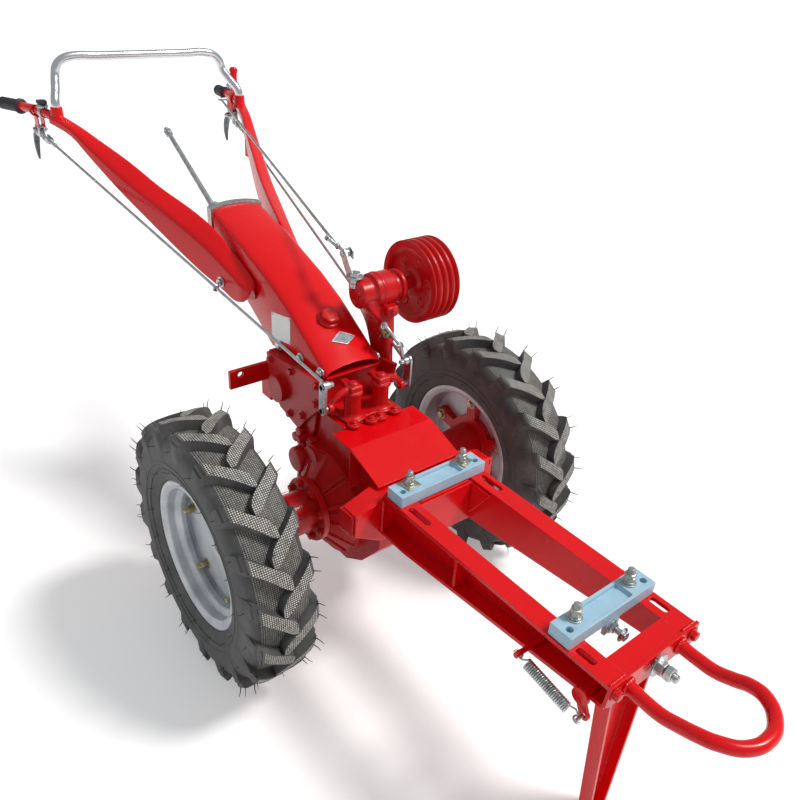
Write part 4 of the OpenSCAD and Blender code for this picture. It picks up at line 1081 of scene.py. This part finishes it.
def make_hood_trim():
    """The hood's bolts, the data plate's rivets and the oil plug."""
    heads = ((-243, 72.6, 292, 15), (-150, 73, 298, 40), (-66, 73.8, 300, 25))
    finish("hood_bolts", copies(bolt_head(17), [(at(x, s * y, z), ACROSS * s, spin)
                                                for s in SIDES for x, y, z, spin in heads]), ZINC)
    rivet = turned("rivet", [(0, 0), (2.6, 0), (2.4, 1), (1.4, 1.8), (0, 2)], steps=16)
    finish("plate_rivets", copies(rivet, [(at(x, -74.2, z), -ACROSS) for x, z in (
        (-273, 303), (-197, 319), (-273, 360), (-197, 376))]), ZINC)
    place, axis = at(-150, 0, 378), Vector((math.sin(math.radians(30)), 0, math.cos(math.radians(30))))
    collar = [(0, -6), (27, -6), (27, 5), (25, 8), (19, 8.5), (18, 6), (15, 6), (15, 9), (0, 9)]
    dish = [(0, 20), (13, 20), (14, 21.6), (16, 21.6), (17, 20)]
    plug = stand(hexagon(40, 14, chamfer=0.1), place + axis * 7 * MM, axis, 25)
    finish("oil_plug", [turned("collar", rounded(collar, 1.2), place, axis), plug,
                        turned("dish", rounded(dish, 0.5), place, axis)], RED_CAST, ["filler_plug"])


# ---- belt clutch ----

PULLEY_X, PULLEY_Z = -114, 440
DRUM = [
    (0, 48), (24, 48), (26, 50.5), (30, 50.5), (32.5, 53), (32.5, 82), (36, 86), (42, 88), (42, 100), (43.6, 101),
    (43.6, 106), (42, 107), (42, 138), (38, 141), (31, 142), (31, 156), (38, 158), (39, 160), (39, 167), (37, 169),
    (31, 170), (30, 177), (14.2, 178), (13.9, 200), (13.9, 285), (12.5, 286.5), (0, 286.5)]
# the housing's foot, from the drum down: aft end, fore end, inner face, outer face, height
FOOT_ROWS = [(-30, 32, 58, 126, 430), (-34, 38, 66, 130, 408), (-35, 48, 84, 128, 384), (-30, 56, 97, 124, 352),
             (-10, 62, 98, 118, 312), (16, 72, 98, 112, 272), (34, 84, 98, 108, 240)]


def make_pulley():
    """A pulley with four belt grooves, and round pads on its web."""
    outline = [(14.1, 2), (28, 2), (34, 10), (72, 10), (80, 0), (98, 0)]
    for y in (18.5 * (i + 0.5) for i in range(4)):
        outline += [(98, y - 6.4), (88.5, y - 2.2), (88.5, y + 2.2), (98, y + 6.4)]
    outline += [(98, 74), (84, 74), (81, 19), (34, 19), (30, 70), (14.1, 70), (14.1, 2)]
    body = turned("wheel", rounded(outline, 1.3), at(PULLEY_X, 200, PULLEY_Z), ACROSS, 96)
    pad = turned("pad", rounded([(0, -4), (13, -4), (12, 1.6), (10.5, 2.6), (4, 2.6), (3, 1.4), (0, 1.4)], 0.8),
                 steps=32)
    pads = copies(pad, [(polar(PULLEY_X, 209.5, PULLEY_Z, 54, k * 60 + 10), -ACROSS) for k in range(6)])
    finish("belt_pulley", [body, *pads], RED_CAST, ["clutch_pulley"], "pulley")


def make_clutch_housing():
    """A stepped drum on a cast foot, with a pinch lug, a rib and red bolt heads."""
    rings = [[at(PULLEY_X + a, b, z) for a, b in rounded_box(aft, fore, inner, outer, 9, 3)]
             for aft, fore, inner, outer, z in smooth_rows(FOOT_ROWS, 3)]
    parts = [turned("drum", rounded(DRUM, 1.6), at(PULLEY_X, 0, PULLEY_Z), ACROSS, 64),
             lofted("foot", rings, angle=50),
             block("pinch_lug", at(PULLEY_X + 36, 96, 398), at(PULLEY_X + 60, 126, 420), 4, 3),
             plate("rib", path((-100, 120, 390), (-96, 142, 402), (-66, 110, 262)), 10, 2.5)]
    finish("clutch_case", parts, RED_CAST, ["clutch_housing"])
    places = [(at(x, 109, z), ACROSS, 10) for x, z in ((-72, 262), (-42, 254))]
    places.append((at(PULLEY_X + 60.5, 111, 409), AHEAD, 10))
    places += [(polar(PULLEY_X, 48.2, PULLEY_Z, 17, a), -ACROSS, a, 0.7) for a in (30, 150, 270)]
    finish("clutch_bolts", copies(bolt_head(15), places), RED_CAST)


# ---- steering turrets ----

# the ears of the base on the left: ahead of the turret's axis, and across
EARS = [(-36, 62), (32, 56), (36, 12)]


def make_turrets():
    """Two stub cylinders on one bolted base with round ears, and the bent arms to the links."""
    parts = [block("base", at(-46, -66, 212.3), at(26, 66, 219), 3)]
    neck = turned("neck", rounded([(0, 214), (30, 214), (30, 219), (23, 221), (19, 227), (18.5, 272), (22, 274),
                                   (22, 282), (0, 282)], 3, 3), at(6, 0, 0), steps=40)
    ear = turned("ear", rounded([(0, 212.3), (15, 212.3), (15, 217.5), (14, 219), (0, 219)], 1), at(0, 0, 0),
                 steps=28)
    cap = [(0, 295), (12, 295), (11, 300), (7, 303), (0, 304)]
    for s in SIDES:
        y = s * 38
        arm = path((6, 46, 286), (6, 64, 284), (6, 82, 275), (5, 94, 259), (5, 97, 254), (5, 103, 254), side=s)
        parts += [put(neck, ACROSS * y * MM),
                  block("yoke", at(-10, y - 16, 276), at(22, y + 16, 296), 4, 3),
                  block("tongue", at(-34, y - 9, 280), at(-6, y + 9, 292), 3, 2),
                  turned("cap", rounded(cap, 2), at(6, y, 0), steps=28),
                  *[put(ear, Vector((6 + dx, s * dy, 0)) * MM) for dx, dy in EARS],
                  rod("arm", arm, [9, 8, 7, 6.5, 6.5, 6.5], sides=5),
                  turned("boss", rounded(disc(11, -7, 5), 1.5), at(5, s * 98, 254), ACROSS * s, 28)]
    discard(neck, ear)
    finish("steering_turret_castings", parts, RED_CAST, ["steering_turrets"])
    heads = [(at(6 + dx, s * dy, 218.8), UP, 20 * s + dx) for s in SIDES for dx, dy in EARS]
    finish("turret_bolts", copies(bolt_head(11), heads), RED_CAST)


# ---- front frame ----

def make_front_loop():
    """The bent bar in front of the frame, with its weld seams."""
    half = [(801, 70, 148), (834, 71, 146), (866, 71.5, 147), (897, 72.5, 157), (922, 73.5, 167)]
    half += [(917 + 74 * math.cos(a), 74 * math.sin(a), 173) for a in (1.12, 0.56)]
    route = path(*half, (991, 0, 174)) + path(*half[::-1], side=-1)
    seams = [weld(circle(803, s * 70, 148, 13.5), 3.2, 5 + s) for s in SIDES]
    finish("front_loop_bar", [rod("bar", route, 12, sides=8), *seams], RED_SHEET, ["front_loop"])


def make_coil_spring():
    """The stand's tension spring: its coils lie close, and each end is turned out into a hook."""
    start, end = path((640, -144, 118), (774, -144, 95))
    along = (end - start).normalized()
    up = along.cross(ACROSS).normalized()
    first, last = 20 * MM, (end - start).length - 22 * MM
    turns, steps = 24, 10
    rear_hook, front_hook = ([math.pi * (open_to - k * 0.16) for k in range(9)] for open_to in (1.15, 0.3))
    route = [start + (along * math.cos(a) + ACROSS * math.sin(a)) * 7.5 * MM for a in rear_hook]
    for i in range(turns * steps + 1):
        a = 2 * math.pi * i / steps
        route.append(start + along * (first + (last - first) * i / turns / steps)
                     + (up * math.cos(a) + ACROSS * math.sin(a)) * 8.5 * MM)
    route += [end + (along * -math.cos(a) + ACROSS * math.sin(a)) * 6.8 * MM for a in front_hook]
    pin = [end - ACROSS * 4 * MM, end + ACROSS * 12.5 * MM]
    parts = [rod("coil", route, 1.75, sides=2, spans=2), rod("pin", pin, 3.2, bend=False, sides=3)]
    finish("return_spring", parts, ZINC, ["stand_spring"])


def make_mount_bars():
    """Two milled bars with a shallow channel and a hole near each end; the front one has a tab."""
    for name, middle in (("rear", 257), ("front", 688)):
        rings = []
        for y, floor in ((-112, 195), (-111, 195), (-54, 195), (-50, 187), (50, 187), (54, 195), (111, 195),
                         (112, 195)):
            wide, floor = 22 if abs(y) == 112 else 23, floor - 0.05
            rings.append([at(middle + x, y, z) for x, z in (
                (-wide, 170), (wide, 170), (wide, 195), (17.5, 195), (16, floor), (-16, floor), (-17.5, 195),
                (-wide, 195))])
        bar = lofted("bar", rings, angle=25)
        for s in SIDES:
            drill = turned("drill", disc(6.5, -5, 40), at(middle + 6, s * 97, 165), steps=32)
            modify(bar, "BOOLEAN", object=drill, operation="DIFFERENCE", solver="EXACT")
            discard(drill)
        parts = [round_off(bar, 0.8, 2, 35)]
        if name == "front":
            parts.append(block("tab", at(703, -16, 143), at(711, 20, 171), 1.2))
        finish(name + "_mount_bar", [settle(joined("bar", parts), 30)], BLUE_BAR, ["mount_plate_" + name])


def make_mount_studs():
    """The mount bars' studs with their washers and pairs of nuts; the rear ones have square washers too."""
    places = path(*[(x, s * 71, 195) for x in (251, 682) for s in SIDES])
    stud = joined("stud", [washer(14, 6.8, 2.6), washer(11, 6.8, 3.8, 2.6), thread(6.5, 30, 1.75, UP * 2 * MM)])
    studs = copies(stud, [(p, UP, 7 * i - 9) for i, p in enumerate(places)])
    finish("mount_stud_bars", studs, ZINC, ["mount_studs"])
    upper = copies(hexagon(18, 7.5), [(UP * 15.2 * MM, UP, 22)])
    nuts = joined("nuts", [hexagon(18, 8.5, UP * 6.2 * MM), *upper])
    square = settle(block("square_washer", Vector((-17, -17, 0)) * MM, Vector((17, 17, 2.4)) * MM, 0.7))
    parts = copies(nuts, [(p, UP, 31 * i) for i, p in enumerate(places)])
    parts += copies(square, [(p, UP, 14 * i + 6) for i, p in enumerate(places[:2])])
    finish("mount_stud_nuts", parts, PALE_ZINC)


def make_tension_stud():
    """The threaded stud through the front plate with its nuts, and the bolt through the bar's tab."""
    parts = [thread(8, 58, 2, at(785, 0, 153), AHEAD),
             *copies(hexagon(24, 12), [(at(809, 0, 153), AHEAD), (at(823, 0, 153), AHEAD, 20)]),
             *copies(washer(22, 8.2, 2.4), [(at(806.8, 0, 153), AHEAD)]),
             rod("tab_bolt", path((690, 0, 157), (736, 0, 157)), 6, bend=False, sides=4),
             *copies(bolt_head(17), [(at(733, 0, 157), AHEAD, 12), (at(711.2, 0, 157), AHEAD, 40)])]
    finish("front_stud", parts, ZINC, ["tension_screw"])


# the two ends and the radius of the weld beads on the left rail, and of those across the machine with their seeds
RAIL_BEADS = [((283, 71, 75), (283, 71, 160), 3.2), ((228, 75, 171), (228, 113, 171), 3.4),
              ((229, 117, 78), (229, 117, 158), 3.6), ((757, 71, 163), (793, 71, 163), 3),
              ((794, 76, 171), (794, 113, 171), 3), ((794, 71, 122), (794, 71, 158), 3)]
CROSS_BEADS = [((283, -66, 168), (283, 66, 168), 3, 9), ((229, -70, 156), (229, 70, 156), 3.2, 11),
               ((796, -66, 164), (796, 66, 164), 2.6, 12)]


def make_frame_welds():
    """Weld beads, and the folded gussets between the rails."""
    parts = [weld(path(*ends, side=s), radius, 1 + k + s)
             for s in SIDES for k, (*ends, radius) in enumerate(RAIL_BEADS)]
    parts += [weld(path(*ends), radius, seed) for *ends, radius, seed in CROSS_BEADS]
    parts += [plate("gusset", path((291, 72.5, 164), (291, 72.5, 84), (344, 72.5, 164), side=s), 5 * s, 1)
              for s in SIDES]
    finish("frame_welds", parts, RED_SHEET)


def make_bells():
    """The ribs and pads on the two halves of the final drive's case, and the bosses of the shift shaft."""
    rib = ((124, 90), (127, 98), (68, 141), (60, 136))
    pad = rounded([(0, 80), (13, 80), (12, 102), (0, 102)], 1.5)
    boss = rounded([(0, 70), (36, 70), (35, 100), (31, 104), (31, 122), (28, 126), (0, 126)], 2)
    for s in SIDES:
        shaft = path((-96, 84, 122), (-96, 116, 122), side=s)
        finish("shift_boss_" + SIDES[s], [turned("boss", boss, at(-94, 0, 70), ACROSS * s),
                                          rod("shaft", shaft, 9, bend=False, sides=6)], RED_CAST)
        parts = [plate("rib", [polar(0, s * y, 0, r, 20 + k * 36) for r, y in rib], 5, 1.5) for k in range(9)]
        parts += [turned("pad", pad, at(x, 0, z), ACROSS * s, 24)
                  for x, z in ((-118, 126), (-72, 122), (-134, 104), (-52, 108))]
        finish("bell_ribs_" + SIDES[s], parts, RED_CAST)


def make_frame_beam():
    """The tapered beam behind the rails, with end plates and gussets."""
    rings = []
    for y, low, high in ((-190, 92, 140), (-188, 90, 141), (-118, 48, 164), (118, 48, 164), (188, 90, 141),
                         (190, 92, 140)):
        outline = ((180, low), (226, low + 4), (226, high - 4), (218, high), (180, high))
        rings.append([at(x, y, z) for x, z in outline])
    parts = [round_off(lofted("beam", rings, angle=25), 2.5, 3, 25)]
    for s in SIDES:
        gusset = path((228, 187, 150), (228, 136, 160), (228, 152, 138), (228, 187, 92), side=s)
        end = path((236, 184, 146), (186, 184, 146), (196, 184, 84), (224, 184, 84), side=s)
        parts += [plate("gusset", gusset, 5 * s, 1), plate("end", end, 6 * s, 1.5)]
    finish("frame_beam", [settle(joined("beam", parts), 30)], RED_SHEET, ["frame_bolster"])


def make_case_bolts():
    """The red bolt heads of the front plate, of the gearbox covers and round the axle."""
    bolts = copies(bolt_head(17, 8), [(at(801, s * 103, 154), AHEAD, 20 + s * 9) for s in SIDES])
    places = [(at(x, s * 98.1, z), ACROSS * s, x)
              for x, z in ((-242, 262), (-150, 272), (-104, 178), (-158, 156), (-232, 192), (-50, 283), (-48, 238))
              for s in SIDES if s < 0 or x < -60]
    places += [(polar(0, s * 154, 0, 65, -22.5 - k * 45), ACROSS * s, k * 19) for k in range(8) for s in SIDES]
    finish("case_bolts", bolts + copies(bolt_head(14, 7), places), RED_CAST)


for side in SIDES:
    make_tyre(side)
    make_rim(side)
both_sides("handlebar", make_arm, RED_SHEET, "handle_arm")
both_sides("grip_sleeve", make_grip, GRIP, "handle_grip")
both_sides("steering_blade", make_steering_lever, GREY_BLADE, "steering_lever")
both_sides("steering_yoke", make_lever_yoke, ZINC)
both_sides("steering_bracket", make_lever_bracket, RED_SHEET)
both_sides("steering_bar", make_steering_rod, ZINC, "steering_rod")
both_sides("steering_strap", make_steering_link, ZINC, "steering_link")
for make in (make_rod_guide, make_cross_tube, make_throttle, make_clutch_lever, make_clutch_rods,
             make_bellcrank, make_gear_lever, make_hood, make_badge, make_hood_trim, make_pulley,
             make_clutch_housing, make_turrets, make_front_loop, make_coil_spring, make_mount_bars,
             make_mount_studs, make_tension_stud, make_frame_welds, make_bells, make_frame_beam, make_case_bolts):
    make()


# ---- camera, light and floor ----

CAMERA_AT = at(1177.9, -901, 1130.5)
CAMERA_TURNS = ((49.56, "Z"), (59.19, "X"), (4.12, "Z"))
SENSOR_MM, LENS_MM = 36, 34.84
SUN_STRENGTH, SUN_DEGREES, SUN_WAY = 2.65, 14, (-0.55, -0.7, -1.25)
SUN_COLOUR = (1.0, 0.98, 0.95)
ROOM_LIGHT, FLOOR_LIFT = 0.44, 0.3
ROOM_COLOUR = (0.95, 0.97, 1.0, 1)


def make_camera():
    data = bpy.data.cameras.new("camera")
    data.sensor_width, data.lens = SENSOR_MM, LENS_MM
    data.clip_start, data.clip_end = 0.05, 60
    camera = bpy.data.objects.new("camera", data)
    bpy.context.scene.collection.objects.link(camera)
    turn = Matrix.Identity(4)
    for degrees, axis in CAMERA_TURNS:
        turn = turn @ Matrix.Rotation(math.radians(degrees), 4, axis)
    camera.matrix_world = Matrix.Translation(CAMERA_AT) @ turn
    bpy.context.scene.camera = camera


def make_floor():
    """A matt floor that shows a little paler to the camera and in the gloss than it lights the machine."""
    bpy.ops.mesh.primitive_plane_add(size=120, location=(AXLE_X, 0, 0))
    floor = newest("floor")
    material = bpy.data.materials.new("pale_floor")
    material.use_nodes = True
    tree = material.node_tree
    tree.nodes.clear()
    rays = add(tree, "rays")
    seen = add(tree, "maximum", rays["Is Camera Ray"], rays["Is Glossy Ray"])
    lift = add(tree, "glow", "#ffffff", add(tree, "multiply", seen, FLOOR_LIFT))
    add(tree, "surface", add(tree, "sum", add(tree, "matt", "#e9e9e9"), lift))
    paint(floor, material)


def make_world():
    """A soft room light, and plain white behind the floor's edge."""
    world = bpy.data.worlds.new("studio")
    bpy.context.scene.world = world
    world.use_nodes = True
    tree = world.node_tree
    tree.nodes.clear()
    rays = add(tree, "rays")
    seen = add(tree, "maximum", rays["Is Camera Ray"], rays["Is Transmission Ray"])
    room, white = add(tree, "sky", ROOM_COLOUR, ROOM_LIGHT), add(tree, "sky", "#ffffff", 1.0)
    add(tree, "world", add(tree, "choice", seen, room, white))


def make_sun():
    data = bpy.data.lights.new("high_sun", "SUN")
    data.energy = SUN_STRENGTH
    data.angle = math.radians(SUN_DEGREES)
    data.color = SUN_COLOUR
    sun = bpy.data.objects.new("high_sun", data)
    bpy.context.scene.collection.objects.link(sun)
    sun.rotation_euler = Vector(SUN_WAY).to_track_quat("-Z", "Y").to_euler()


make_camera()
make_floor()
make_world()
make_sun()

bpy.context.scene.view_settings.view_transform = "Standard"
